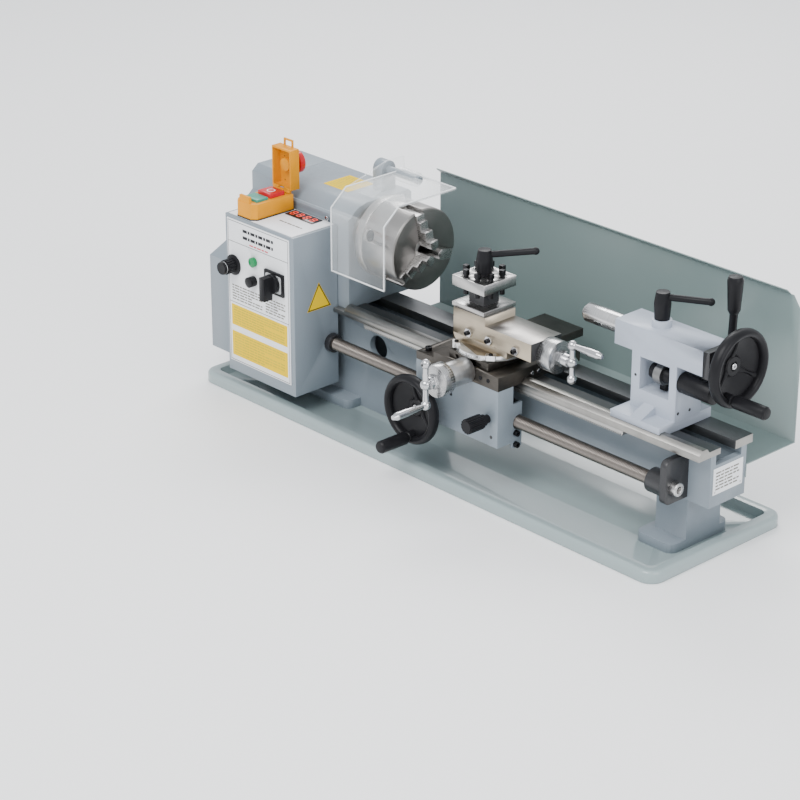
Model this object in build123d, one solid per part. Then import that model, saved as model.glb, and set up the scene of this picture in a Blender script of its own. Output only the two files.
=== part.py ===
from build123d import *
import math
import os

# Bench lathe, millimetres.
# +X runs from the headstock to the tailstock, +Y to the back, +Z up.
# The origin is on the underside of the chip tray, under the spindle, at the middle of the tray's length.

# ---------------------------------------------------------------- driving dimensions
CENTRE_Z = 220.5          # spindle and tailstock axis above the bench
SHEET = 2.0
COVER_SHEET = 1.5
FIT = 0.05                # radial running clearance of shafts
GAP = 0.3                 # clearance between sliding bodies

TRAY_X = (-375.5, 375.5)
TRAY_Y = (-115.0, 104.0)
TRAY_RIM = 14.0
RIM_WIDTH = 14.0
TRAY_CORNER = 18.0

BED_X = (-330.0, 374.5)
WAY_Z = 130.0             # flat tops of the bed ways
VEE_Z = 135.0
FRONT_WEB = (-27.0, -19.0)
REAR_WEB = (22.5, 31.0)
SLOT = 12.2               # half width of the gap between the ways
BED_BOTTOM = 62.0
PAD_Z = 128.0             # seat of the headstock on the bed
FOOT_Z = (SHEET, 13.0)
LEFT_FOOT_X = (-330.0, -178.0)
RIGHT_FOOT_X = (289.0, 343.0)
FOOT_Y = (-48.0, 48.0)
BENCH_HOLE_X = (-290.0, 316.0)
BENCH_HOLE_Y = 38.0
BENCH_HOLE_R = 4.5

HEAD_X = (-330.0, -186.0)
HEAD_Y = (-38.0, 64.0)
HEAD_TOP = 257.0
COVER_X = (-384.0, -330.5)
BOX_X = (-329.5, -205.0)
BOX_Y = (-108.0, -38.5)
BOX_Z = (28.0, 231.0)
BOX_PORT_R = 10.8         # holes for the leadscrew
PANEL = 1.2

SPINDLE_R = 15.0
SPINDLE_BORE = 10.0
SPINDLE_X = (-388.0, -162.0)
SPINDLE_END_R = 12.5       # rear end, which carries the pulley and the gear
BEARING_R = 31.0
BEARING_W = 16.0
BEARING_X = (-326.0, -206.0)   # left face of each bearing
PULLEY_R = 14.5
MOTOR_PULLEY_R = 9.0
BELT = 1.8

MODULE = 1.0
BACKLASH = 0.2
GEAR_X = (-374.0, -366.0)
PULLEY_X = (-358.0, -344.0)
SPINDLE_TEETH = 32
IDLER_TEETH = 96
SCREW_TEETH = 70
MOTOR_Y, MOTOR_Z = 24.0, 163.0

SCREW_Y, SCREW_Z = -50.0, 84.0  # leadscrew axis
SCREW_R = 8.0

CHUCK_R = 50.0
CHUCK_X = (-162.0, -96.0)
SCROLL_X = (-131.4, -125.3)
CHUCK_CAVITY_X = (-146.0, -125.0)
CHUCK_CAVITY_R = (12.0, 41.0)
JAW_WIDTH = 12.0
JAW_ANGLES = (100, 220, 340)
KEY_ANGLE = 160
KEY_X = -138.5
KEY_R = 6.8

CARRIAGE_X = (-20.0, 112.0)
CARRIAGE_Y = (-83.7, 48.0)
SADDLE_TOP = 147.0
SLIDE_X = 61.0            # centre line of the cross slide
SLIDE_HALF = 31.0
SLIDE_Y = (-80.0, 74.0)
SLIDE_Z = (147.3, 157.0)
CROSS_Z = 142.0           # axis of the cross feed screw
APRON_BACK = -59.5
APRON_Z = (61.0, WAY_Z + GAP)
WHEEL_X, WHEEL_Z = -2.0, 80.0
RACK_PITCH_Z = 118.25
WHEEL_TEETH = 28
TRANSFER_TEETH = 36
RACK_TEETH = 18
NUT_X, NUT_Z = 96.0, 93.0

SWIVEL_Y = -42.0
SWIVEL_R = 42.0
COMPOUND_X = (25.0, 147.0)
COMPOUND_Y = (-69.0, -21.0)
COMPOUND_Z = (173.0, 194.0)
COMPOUND_SCREW_Z = 177.0
COMPOUND_SCREW_R = 3.5
POST_X = 46.0
POST_HALF = 25.5
POST_Z = (203.7, 240.5)

TAIL_X = (226.0, 351.0)
TAIL_HALF = 21.0
TAIL_Z = (207.0, 236.0)
LEG_X = (252.0, 316.0)
TAIL_BASE_X = (244.0, 315.0)
TAIL_BASE_TOP = 142.0
CAM_Y, CAM_Z = -9.0, 186.0
QUILL_R = 11.0
QUILL_TIP = 166.0
LOCK_X = 274.0

GUARD_Y, GUARD_Z = 40.0, 283.0   # pivot of the chuck guard
SWITCH_X = (-314.0, -278.0)
SWITCH_Y = (-106.0, -44.0)
SWITCH_Z = (232.0, 252.0)
LID_Y, LID_Z = -47.0, 252.0      # hinge of the switch lid

os.makedirs("parts", exist_ok=True)
NODES = {}


# ---------------------------------------------------------------- simple solids
def box(x, y, z):
    """Block between pairs of limits."""
    size = Box(x[1] - x[0], y[1] - y[0], z[1] - z[0])
    return Pos((x[0] + x[1]) / 2, (y[0] + y[1]) / 2, (z[0] + z[1]) / 2) * size


def bar_x(x, y, z, r):
    """Round bar along X."""
    return Pos((x[0] + x[1]) / 2, y, z) * Rot(0, 90, 0) * Cylinder(r, x[1] - x[0])


def bar_y(x, y, z, r):
    """Round bar along Y."""
    return Pos(x, (y[0] + y[1]) / 2, z) * Rot(90, 0, 0) * Cylinder(r, y[1] - y[0])


def bar_z(x, y, z, r):
    """Round bar along Z."""
    return Pos(x, y, (z[0] + z[1]) / 2) * Cylinder(r, z[1] - z[0])


def prism_x(points, x):
    """Outline in Y and Z, extended along X."""
    return extrude(Plane.YZ.offset(x[0]) * Polygon(*points, align=None), x[1] - x[0], dir=(1, 0, 0))


def prism_y(points, y):
    """Outline in X and Z, extended along Y."""
    return extrude(Plane.XZ.offset(-y[1]) * Polygon(*points, align=None), y[1] - y[0], dir=(0, -1, 0))


def prism_z(points, z):
    """Outline in X and Y, extended along Z."""
    return extrude(Plane.XY.offset(z[0]) * Polygon(*points, align=None), z[1] - z[0], dir=(0, 0, 1))


def turned(points):
    """Solid turned about Z from an outline of radius and height."""
    return revolve(Plane.XZ * Polygon(*points, align=None), Axis.Z)


def facing_front(x, y, z):
    """Place whose local Z points to the front, -Y."""
    return Pos(x, y, z) * Rot(90, 0, 0)


def facing_right(x, y, z):
    """Place whose local Z points to +X."""
    return Pos(x, y, z) * Rot(0, 90, 0)


def rod(start, end, r):
    """Round rod between two points."""
    start, end = Vector(*start), Vector(*end)
    way = end - start
    return Plane(origin=start, z_dir=way) * Cylinder(
        r, way.length, align=(Align.CENTER, Align.CENTER, Align.MIN)
    )


def ball(x, y, z, r):
    return Pos(x, y, z) * Sphere(r)


def keep(name, *solids):
    """Store one node, made of one or more separate solids."""
    NODES[name] = solids[0] if len(solids) == 1 else Compound(children=list(solids))


# ---------------------------------------------------------------- gears
def involute(angle):
    return math.tan(angle) - angle


def gear_outline(teeth, tooth_at):
    """Points of an involute spur gear with one tooth centred at tooth_at degrees."""
    pressure = math.radians(20)
    pitch = teeth * MODULE / 2
    base = pitch * math.cos(pressure)
    root, tip = pitch - 1.25 * MODULE, pitch + 0.95 * MODULE
    half_at_pitch = math.pi / (2 * teeth) - BACKLASH / (4 * pitch)
    flank = []
    for step in range(5):
        r = max(base, root) + (tip - max(base, root)) * step / 4
        lean = math.acos(min(1, base / r))
        flank.append((r, half_at_pitch + involute(pressure) - involute(lean)))
    if root < base:
        flank.insert(0, (root, flank[0][1]))
    points = []
    for tooth in range(teeth):
        middle = math.radians(tooth_at + 360 * tooth / teeth)
        for r, half in flank:
            points.append((r * math.cos(middle - half), r * math.sin(middle - half)))
        for r, half in reversed(flank):
            points.append((r * math.cos(middle + half), r * math.sin(middle + half)))
    return points


def gear_x(teeth, tooth_at, x, y, z, bore):
    """Gear on an axis along X; tooth_at is measured from +Y towards +Z."""
    points = [(y + a, z + b) for a, b in gear_outline(teeth, tooth_at)]
    return prism_x(points, x) - bar_x((x[0] - 1, x[1] + 1), y, z, bore)


def gear_y(teeth, tooth_at, x, y, z):
    """Gear on an axis along Y; tooth_at is measured from +X towards +Z."""
    points = [(x + a, z + b) for a, b in gear_outline(teeth, tooth_at)]
    return prism_y(points, y)


def meshed(teeth, tooth_at, other_teeth, towards):
    """Tooth angle of the gear that lies in direction towards and meshes with this one."""
    return towards + 180 - teeth / other_teeth * (tooth_at - towards) - 180 / other_teeth


def handwheel(radius, hub_r):
    """Closed dished wheel with three ribs about local Z, its hollow side up."""
    section = [(radius - 9, -4), (radius - 2, -6), (radius, -2)]
    section += [(radius, 7), (radius - 3, 9), (radius - 8, 8)]
    dish = turned([(hub_r - 2, -14), (radius - 8, -4), (radius - 8, 1), (hub_r - 2, -8)])
    wheel = turned(section) + dish + bar_z(0, 0, (-14, -5), hub_r)
    rib = prism_y([(hub_r - 2, -12), (radius - 7, -3), (radius - 7, 4), (hub_r - 2, -5)], (-2.5, 2.5))
    for angle in (90, 210, 330):
        wheel += Rot(0, 0, angle) * rib
    return wheel


def grip(length):
    """Turned handle about local Z from its foot."""
    return turned([(0, 0), (6, 0), (7.5, 3), (7.5, length - 2), (6, length), (0, length)])


def cap_screw(place, r, head, length):
    """Socket head screw: the head stands on the surface and the shank goes down local -Z."""
    screw = bar_z(0, 0, (0, head), r * 1.6) + bar_z(0, 0, (-length, 0), r)
    screw -= bar_z(0, 0, (head * 0.4, head + 1), r * 0.8)
    return place * screw


# ---------------------------------------------------------------- tray, splash guard and bed
def rounded_plate(inset, z, corner):
    """Plate with the tray's outline, inset on every side."""
    size_x = TRAY_X[1] - TRAY_X[0] - 2 * inset
    size_y = TRAY_Y[1] - TRAY_Y[0] - 2 * inset
    plate = extrude(RectangleRounded(size_x, size_y, corner), z[1] - z[0])
    return Pos(0, sum(TRAY_Y) / 2, z[0]) * plate


def bench_holes(z):
    """Holes for the bench bolts, open below and closed at the top of the feet."""
    return [bar_z(x, side * BENCH_HOLE_Y, z, BENCH_HOLE_R) for x in BENCH_HOLE_X for side in (-1, 1)]


def chip_tray():
    tray = rounded_plate(0, (0, TRAY_RIM), TRAY_CORNER)
    tray = fillet(tray.faces().sort_by(Axis.Z)[-1].edges(), 5)
    tray -= rounded_plate(RIM_WIDTH, (SHEET, TRAY_RIM + 1), 8)
    channel = rounded_plate(SHEET, (-1, TRAY_RIM - SHEET - 3), TRAY_CORNER - SHEET)
    channel -= rounded_plate(RIM_WIDTH - SHEET, (-1, TRAY_RIM), 9)
    tray -= channel
    for hole in bench_holes((-1, SHEET + 1)):
        tray -= hole
    return tray


def splash_guard():
    left, right = -186.0, 375.0
    wall_y, ledge_z, top = 112.0, 95.5, 266.0
    outline = [
        (left, ledge_z),
        (right, ledge_z),
        (right, top - 20),
        (right - 14, top),
        (left, top),
    ]
    wall = prism_y(outline, (wall_y, wall_y + 1.5))
    ledge = box((left, right), (REAR_WEB[1], wall_y), (ledge_z, ledge_z + 1.5))
    flange = box((left, right), (REAR_WEB[1], REAR_WEB[1] + 1.5), (ledge_z - 15, ledge_z))
    lip = prism_x([(wall_y, top), (wall_y + 1.5, top), (wall_y - 6, top + 7), (wall_y - 7, top + 6)],
                  (left, right - 18))
    guard = wall + ledge + flange + lip
    for x in (-120, 60, 240):
        guard -= bar_y(x, (REAR_WEB[1] - 1, REAR_WEB[1] + 3), 86, 2.6)
    return guard


def foot(x):
    """Flange of a foot with rounded corners."""
    size_x, size_y = x[1] - x[0], FOOT_Y[1] - FOOT_Y[0]
    flange = extrude(RectangleRounded(size_x, size_y, 11), FOOT_Z[1] - FOOT_Z[0])
    return Pos(sum(x) / 2, 0, FOOT_Z[0]) * flange


def bed():
    front = [(-47, 123), (-47, 130.5), (-41.5, VEE_Z), (-34.5, VEE_Z), (-30.5, WAY_Z)]
    front += [(-SLOT, WAY_Z), (-SLOT, 123)]
    rear = [(SLOT, 120), (SLOT, WAY_Z), (40.3, WAY_Z), (40.3, 120)]
    casting = prism_x(front, BED_X) + prism_x(rear, BED_X)
    casting += box(BED_X, FRONT_WEB, (BED_BOTTOM, 123))
    casting += box(BED_X, REAR_WEB, (BED_BOTTOM, 120))
    casting -= box((BED_X[0] - 1, HEAD_X[1] + 1), (-60, 60), (PAD_Z, 140))
    rib = 8.0
    casting += box((BED_X[1] - rib, BED_X[1]), (FRONT_WEB[0], REAR_WEB[1]), (BED_BOTTOM, 111))
    for x in (-60, 75, 210):
        casting += box((x, x + rib), (FRONT_WEB[0], REAR_WEB[1]), (BED_BOTTOM, 90))
    left_leg = box((BED_X[0], -75), (FRONT_WEB[0], REAR_WEB[1]), (FOOT_Z[0], BED_BOTTOM))
    left_leg -= box((BED_X[0] + rib, -75 - rib), (FRONT_WEB[1], REAR_WEB[0]), (0, BED_BOTTOM + 1))
    right_leg = box((299, 343), (FRONT_WEB[0] + 2, REAR_WEB[1]), (FOOT_Z[0], BED_BOTTOM))
    right_leg -= box((299 + rib, 343 - rib), (FRONT_WEB[1], REAR_WEB[0]), (0, BED_BOTTOM + 1))
    casting += left_leg + right_leg
    casting += foot(LEFT_FOOT_X) - box((BED_X[0] + rib, LEFT_FOOT_X[1] - rib), (-19, 22.5), (0, 20))
    casting += foot(RIGHT_FOOT_X) - box((307, 335), (-19, 22.5), (0, 20))
    casting -= box((BED_X[0] - 1, BOX_X[1] + 1), (-60, BOX_Y[1]), (100, 140))
    casting -= bar_y(-146, (FRONT_WEB[0] - 1, FRONT_WEB[1] + 1), 88, 15)
    for hole in bench_holes((0, FOOT_Z[1] - 2.5)):
        casting -= hole
    for x in (-120, 60, 240):
        casting -= bar_y(x, (REAR_WEB[0] - 1, REAR_WEB[1] + 1), 86, 2.5)
    return casting


def feed_rack():
    """Rack screwed under the front way, teeth down."""
    pitch = math.pi * MODULE
    first, count = -150, 132
    top, tip, root = 123.0, RACK_PITCH_Z - 0.95, RACK_PITCH_Z + 1.25
    start = RACK_PINION_X + pitch / 2 - pitch * math.floor((RACK_PINION_X - first) / pitch)
    slope = math.tan(math.radians(20))
    half = pitch / 4 - BACKLASH / 4
    points = []
    for tooth in range(count):
        middle = start + tooth * pitch
        wide, narrow = half + 1.25 * slope, half - 0.95 * slope
        points += [(middle - wide, root), (middle - narrow, tip)]
        points += [(middle + narrow, tip), (middle + wide, root)]
    end = points[-1][0] + 1
    outline = [(points[0][0] - 1, top), (points[0][0] - 1, root)] + points + [(end, root), (end, top)]
    return prism_y(outline, (-47, -38))


# the transfer shaft stands to the right of the handwheel, at the distance of its gears
RACK_PINION_Z = RACK_PITCH_Z - RACK_TEETH * MODULE / 2
TRANSFER_DISTANCE = (WHEEL_TEETH + TRANSFER_TEETH) * MODULE / 2
RACK_PINION_X = WHEEL_X + math.sqrt(TRANSFER_DISTANCE ** 2 - (RACK_PINION_Z - WHEEL_Z) ** 2)

keep("chip_tray", chip_tray())
keep("splash_guard", splash_guard())
keep("bed", bed())
keep("feed_rack", feed_rack())


# ---------------------------------------------------------------- headstock
def headstock():
    outline = [(HEAD_Y[0], PAD_Z), (HEAD_Y[0], 241), (-36, 243), (-34, 243), (-29, 249)]
    outline += [(-20, 254), (-8, HEAD_TOP), (60, HEAD_TOP), (HEAD_Y[1], 253), (HEAD_Y[1], PAD_Z)]
    casting = prism_x(outline, HEAD_X)
    casting -= box((-300, -214), (HEAD_Y[0] + 8, HEAD_Y[1] - 8), (PAD_Z - 1, 243))
    casting -= bar_x((HEAD_X[0] - 1, HEAD_X[1] + 1), 0, CENTRE_Z, SPINDLE_R + 4)
    casting -= bar_x((HEAD_X[0] - 1, BEARING_X[0] + BEARING_W), 0, CENTRE_Z, BEARING_R)
    casting -= bar_x((BEARING_X[1], HEAD_X[1] + 1), 0, CENTRE_Z, BEARING_R)
    casting -= bar_x((HEAD_X[0] - 1, -299), MOTOR_Y, MOTOR_Z, 8)
    return casting


def gear_cover_outline():
    return [
        (-90, 36), (-90, 157), (-64, 169), (-46, 203), (-19.5, 226), (-19.5, 249),
        (-10, HEAD_TOP), (60, HEAD_TOP), (66, 250), (66, 36),
    ]


def gear_cover():
    outline = gear_cover_outline()
    cover = prism_x(outline, COVER_X)
    hollow = offset(Polygon(*outline, align=None), -COVER_SHEET, kind=Kind.INTERSECTION)
    inside = Plane.YZ.offset(COVER_X[0] + COVER_SHEET)
    hollow = extrude(inside * hollow, COVER_X[1] - COVER_X[0], dir=(1, 0, 0))
    cover -= hollow
    cover -= bar_x((COVER_X[0] - 1, COVER_X[0] + SHEET + 1), 0, CENTRE_Z, SPINDLE_END_R + 1.5)
    return cover


def control_box():
    shell = box(BOX_X, BOX_Y, BOX_Z)
    inside_x = (BOX_X[0] + SHEET, BOX_X[1] - SHEET)
    shell -= box(inside_x, (BOX_Y[0] + SHEET, BOX_Y[1] + 1), (BOX_Z[0] + SHEET, BOX_Z[1] - SHEET))
    shell -= bar_x((BOX_X[0] - 1, BOX_X[1] + 1), SCREW_Y, SCREW_Z, BOX_PORT_R)
    for x, z, r in PANEL_HOLES:
        shell -= bar_y(x, (BOX_Y[0] - 1, BOX_Y[0] + SHEET + 1), z, r)
    return shell


SPEED_X, SPEED_Z = -314.0, 168.6
TURN_X, TURN_Z = -237.5, 167.0
LAMP_X, LAMP_Z = -276.0, 182.5
FUSE_X, FUSE_Z = -277.0, 158.0
PANEL_HOLES = ((SPEED_X, SPEED_Z, 4.0), (TURN_X, TURN_Z, 5.0), (LAMP_X, LAMP_Z, 4.5), (FUSE_X, FUSE_Z, 5.0))
PANEL_FRONT = BOX_Y[0] - PANEL


def control_panel():
    front = box((-325, -212), (PANEL_FRONT, BOX_Y[0]), (42, 227))
    for x, z, r in PANEL_HOLES:
        front -= bar_y(x, (PANEL_FRONT - 1, BOX_Y[0] + 1), z, r)
    top = box((-325, -209), (-106, -41), (BOX_Z[1], BOX_Z[1] + 1))
    return front, top


def panel_fittings():
    """Power lamp, fuse holder, plate of the direction switch and the speed display."""
    lamp = bar_y(LAMP_X, (PANEL_FRONT, BOX_Y[0] + 8), LAMP_Z, 4.5)
    lamp += bar_y(LAMP_X, (PANEL_FRONT - 4, PANEL_FRONT), LAMP_Z, 6)
    fuse = bar_y(FUSE_X, (PANEL_FRONT, BOX_Y[0] + 12), FUSE_Z, 5)
    fuse += bar_y(FUSE_X, (PANEL_FRONT - 9, PANEL_FRONT), FUSE_Z, 6.5)
    plate = box((TURN_X - 17, TURN_X + 17), (PANEL_FRONT - 3, PANEL_FRONT), (TURN_Z - 14, TURN_Z + 14))
    plate -= bar_y(TURN_X, (PANEL_FRONT - 4, PANEL_FRONT + 1), TURN_Z, 5)
    display = box((-274, -225), (-61, -44), (BOX_Z[1] + 1, BOX_Z[1] + 2.2))
    return lamp, fuse, plate, display


def switch_box():
    base = box(SWITCH_X, SWITCH_Y, SWITCH_Z)
    base = chamfer(base.edges().filter_by(Axis.Z).group_by(Axis.Y)[0], 6)
    middle = sum(SWITCH_X) / 2
    for y, half in ((START_Y, START_HALF + GAP), (STOP_Y, STOP_HALF + GAP)):
        base -= box((middle - 12.5, middle + 12.5), (y - half, y + half), (238, SWITCH_Z[1] + 1))
    catch = box((middle - 9, middle + 9), (SWITCH_Y[0] + 0.5, SWITCH_Y[0] + 4), (SWITCH_Z[1], SWITCH_Z[1] + 8))
    hinge = box((middle - 5, middle + 5), (LID_Y - 2.5, SWITCH_Y[1]), (SWITCH_Z[1], LID_Z + 3.5))
    base += catch
    base += hinge
    base -= bar_x(SWITCH_X, LID_Y, LID_Z + 1.5, 1.3)
    return base


START_Y, STOP_Y = -87.0, -63.5
START_HALF, STOP_HALF = 8.7, 11.0


def push_button(y, half, top):
    middle = sum(SWITCH_X) / 2
    return box((middle - 12.2, middle + 12.2), (y - half, y + half), (242, top))


def switch_lid():
    """Open box lid, standing upright, with its hinge pin and wire catch."""
    deep = (LID_Y + 0.3, LID_Y + 14)
    tall = (LID_Z + 4, LID_Z + 54)
    wide = (SWITCH_X[0] + 1, SWITCH_X[1] - 1)
    lid = box(wide, deep, tall)
    lid -= box((wide[0] + 2, wide[1] - 2), (deep[0] - 1, deep[1] - 2), (tall[0] + 2, tall[1] - 2))
    middle = sum(SWITCH_X) / 2
    lid += bar_y(middle, (deep[1] - 8.5, deep[1] - 1), MUSHROOM_Z, 8)
    lid -= bar_y(middle, (deep[1] - 7, deep[1] + 1), MUSHROOM_Z, 6.2)
    lid -= box((middle - 5.5, middle + 5.5), (LID_Y - 1, LID_Y + 4), (tall[0] - 1, tall[0] + 2.5))
    for x in ((wide[0] + 2, middle - 5.5), (middle + 5.5, wide[1] - 2)):
        lid += box(x, (LID_Y - 1, LID_Y + 2.5), (LID_Z + 0.5, LID_Z + 6.2))
    lid += bar_x((wide[0] + 2, wide[1] - 2), LID_Y, LID_Z + 1.5, 1.2)
    catch_y = LID_Y + 11.5
    catch = box((middle - 8, middle + 8), (catch_y, catch_y + 2), (tall[1], tall[1] + 9))
    catch -= box((middle - 6, middle + 6), (catch_y - 1, catch_y + 3), (tall[1], tall[1] + 7))
    return lid + catch


MUSHROOM_Z = LID_Z + 32


def emergency_button():
    middle = sum(SWITCH_X) / 2
    foot_y = LID_Y + 14
    button = bar_y(middle, (foot_y - 2.5, foot_y + 9), MUSHROOM_Z, 6)
    button += bar_y(middle, (foot_y + 6, foot_y + 13), MUSHROOM_Z, 14)
    return button


def speed_knob():
    knob = turned([(0, 0), (13, 0), (13, 2), (9.5, 4), (8.5, 18), (7, 20), (0, 20)])
    knob = facing_front(SPEED_X, PANEL_FRONT - 0.3, SPEED_Z) * knob
    return knob + bar_y(SPEED_X, (PANEL_FRONT - 0.3, BOX_Y[0] + 12), SPEED_Z, 3.9)


def direction_knob():
    face = PANEL_FRONT - 3.3
    knob = bar_y(TURN_X, (face - 5, face), TURN_Z, 12)
    knob += box((TURN_X - 4.5, TURN_X + 4.5), (face - 18, face - 5), (TURN_Z - 18, TURN_Z + 11))
    return knob + bar_y(TURN_X, (face, BOX_Y[0] + 12), TURN_Z, 4.9)


def bearing(x):
    ring = bar_x((x, x + BEARING_W), 0, CENTRE_Z, BEARING_R)
    return ring - bar_x((x - 1, x + BEARING_W + 1), 0, CENTRE_Z, SPINDLE_R)


def belt():
    """Toothed belt round both pulleys."""
    big, small = PULLEY_R + GAP, MOTOR_PULLEY_R + GAP
    x = (PULLEY_X[0] + 2, PULLEY_X[1] - 2)
    spread = Vector(0, MOTOR_Y, MOTOR_Z - CENTRE_Z)
    lean = math.atan2(spread.Z, spread.Y)
    turn = math.acos((big - small) / spread.length)

    def loop(extra, width):
        points = []
        for side in (1, -1):
            angle = lean + side * turn
            across = (math.cos(angle), math.sin(angle))
            near = ((big + extra) * across[0], CENTRE_Z + (big + extra) * across[1])
            far = (MOTOR_Y + (small + extra) * across[0], MOTOR_Z + (small + extra) * across[1])
            points += [near, far] if side == 1 else [far, near]
        body = prism_x(points, width) + bar_x(width, 0, CENTRE_Z, big + extra)
        return body + bar_x(width, MOTOR_Y, MOTOR_Z, small + extra)

    return loop(BELT, x) - loop(0, (x[0] - 1, x[1] + 1))


def flanged_pulley(y, z, r, bore):
    wheel = bar_x(PULLEY_X, y, z, r)
    for x in (PULLEY_X[0], PULLEY_X[1] - 1.5):
        wheel += bar_x((x, x + 1.5), y, z, r + 2.3)
    return wheel - bar_x((PULLEY_X[0] - 1, PULLEY_X[1] + 1), y, z, bore)


# gear train: the idler stands behind the line from the spindle to the leadscrew
def idler_place():
    near = (SPINDLE_TEETH + IDLER_TEETH) * MODULE / 2
    far = (IDLER_TEETH + SCREW_TEETH) * MODULE / 2
    way_y, way_z = SCREW_Y, SCREW_Z - CENTRE_Z
    length = math.hypot(way_y, way_z)
    along = (near ** 2 - far ** 2 + length ** 2) / (2 * length)
    aside = math.sqrt(near ** 2 - along ** 2)
    unit_y, unit_z = way_y / length, way_z / length
    return along * unit_y - aside * unit_z, CENTRE_Z + along * unit_z + aside * unit_y


IDLER_Y, IDLER_Z = idler_place()
SPINDLE_TOOTH = 90.0
TOWARDS_IDLER = math.degrees(math.atan2(IDLER_Z - CENTRE_Z, IDLER_Y))
IDLER_TOOTH = meshed(SPINDLE_TEETH, SPINDLE_TOOTH, IDLER_TEETH, TOWARDS_IDLER)
TOWARDS_SCREW = math.degrees(math.atan2(SCREW_Z - IDLER_Z, SCREW_Y - IDLER_Y))
SCREW_TOOTH = meshed(IDLER_TEETH, IDLER_TOOTH, SCREW_TEETH, TOWARDS_SCREW)
STUD_R = 6.0


def gear_quadrant():
    """Plate that carries the idler on a stud, bolted to the headstock through a spacer."""
    plate = box((-363, -359), (-34, 0), (130, 170))
    plate += bar_x((-376, -359), IDLER_Y, IDLER_Z, STUD_R)
    plate += bar_x((-359, HEAD_X[0]), -24, 142, 7)
    return plate


def spindle():
    shaft = bar_x((SPINDLE_X[0], BEARING_X[0]), 0, CENTRE_Z, SPINDLE_END_R)
    shaft += bar_x((BEARING_X[0], SPINDLE_X[1] - 10), 0, CENTRE_Z, SPINDLE_R)
    shaft += bar_x((SPINDLE_X[1] - 10, SPINDLE_X[1]), 0, CENTRE_Z, 28)
    return shaft - bar_x((SPINDLE_X[0] - 1, SPINDLE_X[1] + 1), 0, CENTRE_Z, SPINDLE_BORE)


def leadscrew():
    screw = bar_x((-352, 352), SCREW_Y, SCREW_Z, SCREW_R)
    screw += bar_x((-376, -352), SCREW_Y, SCREW_Z, STUD_R)
    screw -= bar_x((338, 353), SCREW_Y, SCREW_Z, 4)
    gear = gear_x(SCREW_TEETH, SCREW_TOOTH, GEAR_X, SCREW_Y, SCREW_Z, STUD_R)
    return screw, gear


def leadscrew_brackets():
    left = bar_x((BOX_X[1], BOX_X[1] + 8), SCREW_Y, SCREW_Z, 11.3)
    left += bar_x((BOX_X[1] - 6, BOX_X[1]), SCREW_Y, SCREW_Z, BOX_PORT_R)
    plate = box((336, 344), (-64, FRONT_WEB[0]), (66, 118))
    plate = fillet(plate.edges().filter_by(Axis.X).group_by(Axis.Y)[0], 8)
    right = plate + bar_x((314, 336), SCREW_Y, SCREW_Z, 14)
    bores = bar_x((-220, 400), SCREW_Y, SCREW_Z, SCREW_R + FIT)
    return left - bores, right - bores


def fixed_screws():
    """Screws that hold the headstock, the gear cover and the splash guard."""
    screws = []
    for x in (-300, -222):
        screws.append(cap_screw(facing_front(x, HEAD_Y[0], 234.5), 2.0, 3, 7))
    for y, z in ((-80, 60), (-80, 145), (52, 60), (52, 240)):
        screws.append(cap_screw(Pos(COVER_X[0], y, z) * Rot(0, -90, 0), 2.5, 4, 1))
    for x in (-120, 60, 240):
        screws.append(cap_screw(Pos(x, REAR_WEB[1] + 1.5, 86) * Rot(-90, 0, 0), 2.4, 4, 9))
    return screws


def guard_bracket():
    """Bracket on the headstock and the pivot shaft of the chuck guard."""
    bracket = box((-216, -200), (GUARD_Y - 11, GUARD_Y + 11), (HEAD_TOP, GUARD_Z))
    bracket += bar_x((-216, -200), GUARD_Y, GUARD_Z, 11)
    return bracket + bar_x((-200, -146), GUARD_Y, GUARD_Z, 5)


def chuck_guard():
    """Clear guard, bent from sheet, on its hub."""
    sheet = 3.0
    x = (-184.0, -92.0)
    outer = [(-68, 186), (-68, 266), (-44, 286.5), (GUARD_Y + 8, 286.5)]
    inner = [(GUARD_Y + 8, 286.5 - sheet), (-43, 286.5 - sheet), (-68 + sheet, 264.6), (-68 + sheet, 186)]
    guard = prism_x(outer + inner, x)
    guard += prism_x([(-40, 286), (GUARD_Y + 8, 286), (GUARD_Y + 8, 303), (20, 303)], (x[0], x[0] + sheet))
    hub = bar_x((x[0], x[0] + 34), GUARD_Y, GUARD_Z, 9)
    guard += hub
    return guard - bar_x((x[0] - 1, x[0] + 50), GUARD_Y, GUARD_Z, 5 + FIT)


keep("headstock", headstock())
keep("gear_cover", gear_cover())
keep("control_box", control_box())
keep("control_panel", *control_panel())
keep("panel_fittings", *panel_fittings())
keep("switch_box", switch_box())
keep("switch_lid", switch_lid())
keep("start_button", push_button(START_Y, START_HALF, 255))
keep("stop_button", push_button(STOP_Y, STOP_HALF, 257))
keep("emergency_button", emergency_button())
keep("speed_knob", speed_knob())
keep("direction_knob", direction_knob())
keep("spindle_bearings", *[bearing(x) for x in BEARING_X])
keep("drive_motor", bar_x((-299.5, -225), MOTOR_Y, MOTOR_Z, 26))
keep("drive_belt", belt())
keep("gear_quadrant", gear_quadrant())
keep("leadscrew_brackets", *leadscrew_brackets())
keep("fixed_screws", *fixed_screws())
for screw in fixed_screws():
    NODES["headstock"] -= screw
    NODES["gear_cover"] -= screw
keep("guard_bracket", guard_bracket())
keep("spindle", spindle())
keep(
    "spindle_wheels",
    flanged_pulley(0, CENTRE_Z, PULLEY_R, SPINDLE_END_R),
    gear_x(SPINDLE_TEETH, SPINDLE_TOOTH, GEAR_X, 0, CENTRE_Z, SPINDLE_END_R),
)
motor_shaft = bar_x((-360, -300), MOTOR_Y, MOTOR_Z, 5)
keep("motor_pulley", flanged_pulley(MOTOR_Y, MOTOR_Z, MOTOR_PULLEY_R, 5) + motor_shaft)
keep("idler_gear", gear_x(IDLER_TEETH, IDLER_TOOTH, GEAR_X, IDLER_Y, IDLER_Z, STUD_R + FIT))
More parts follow.
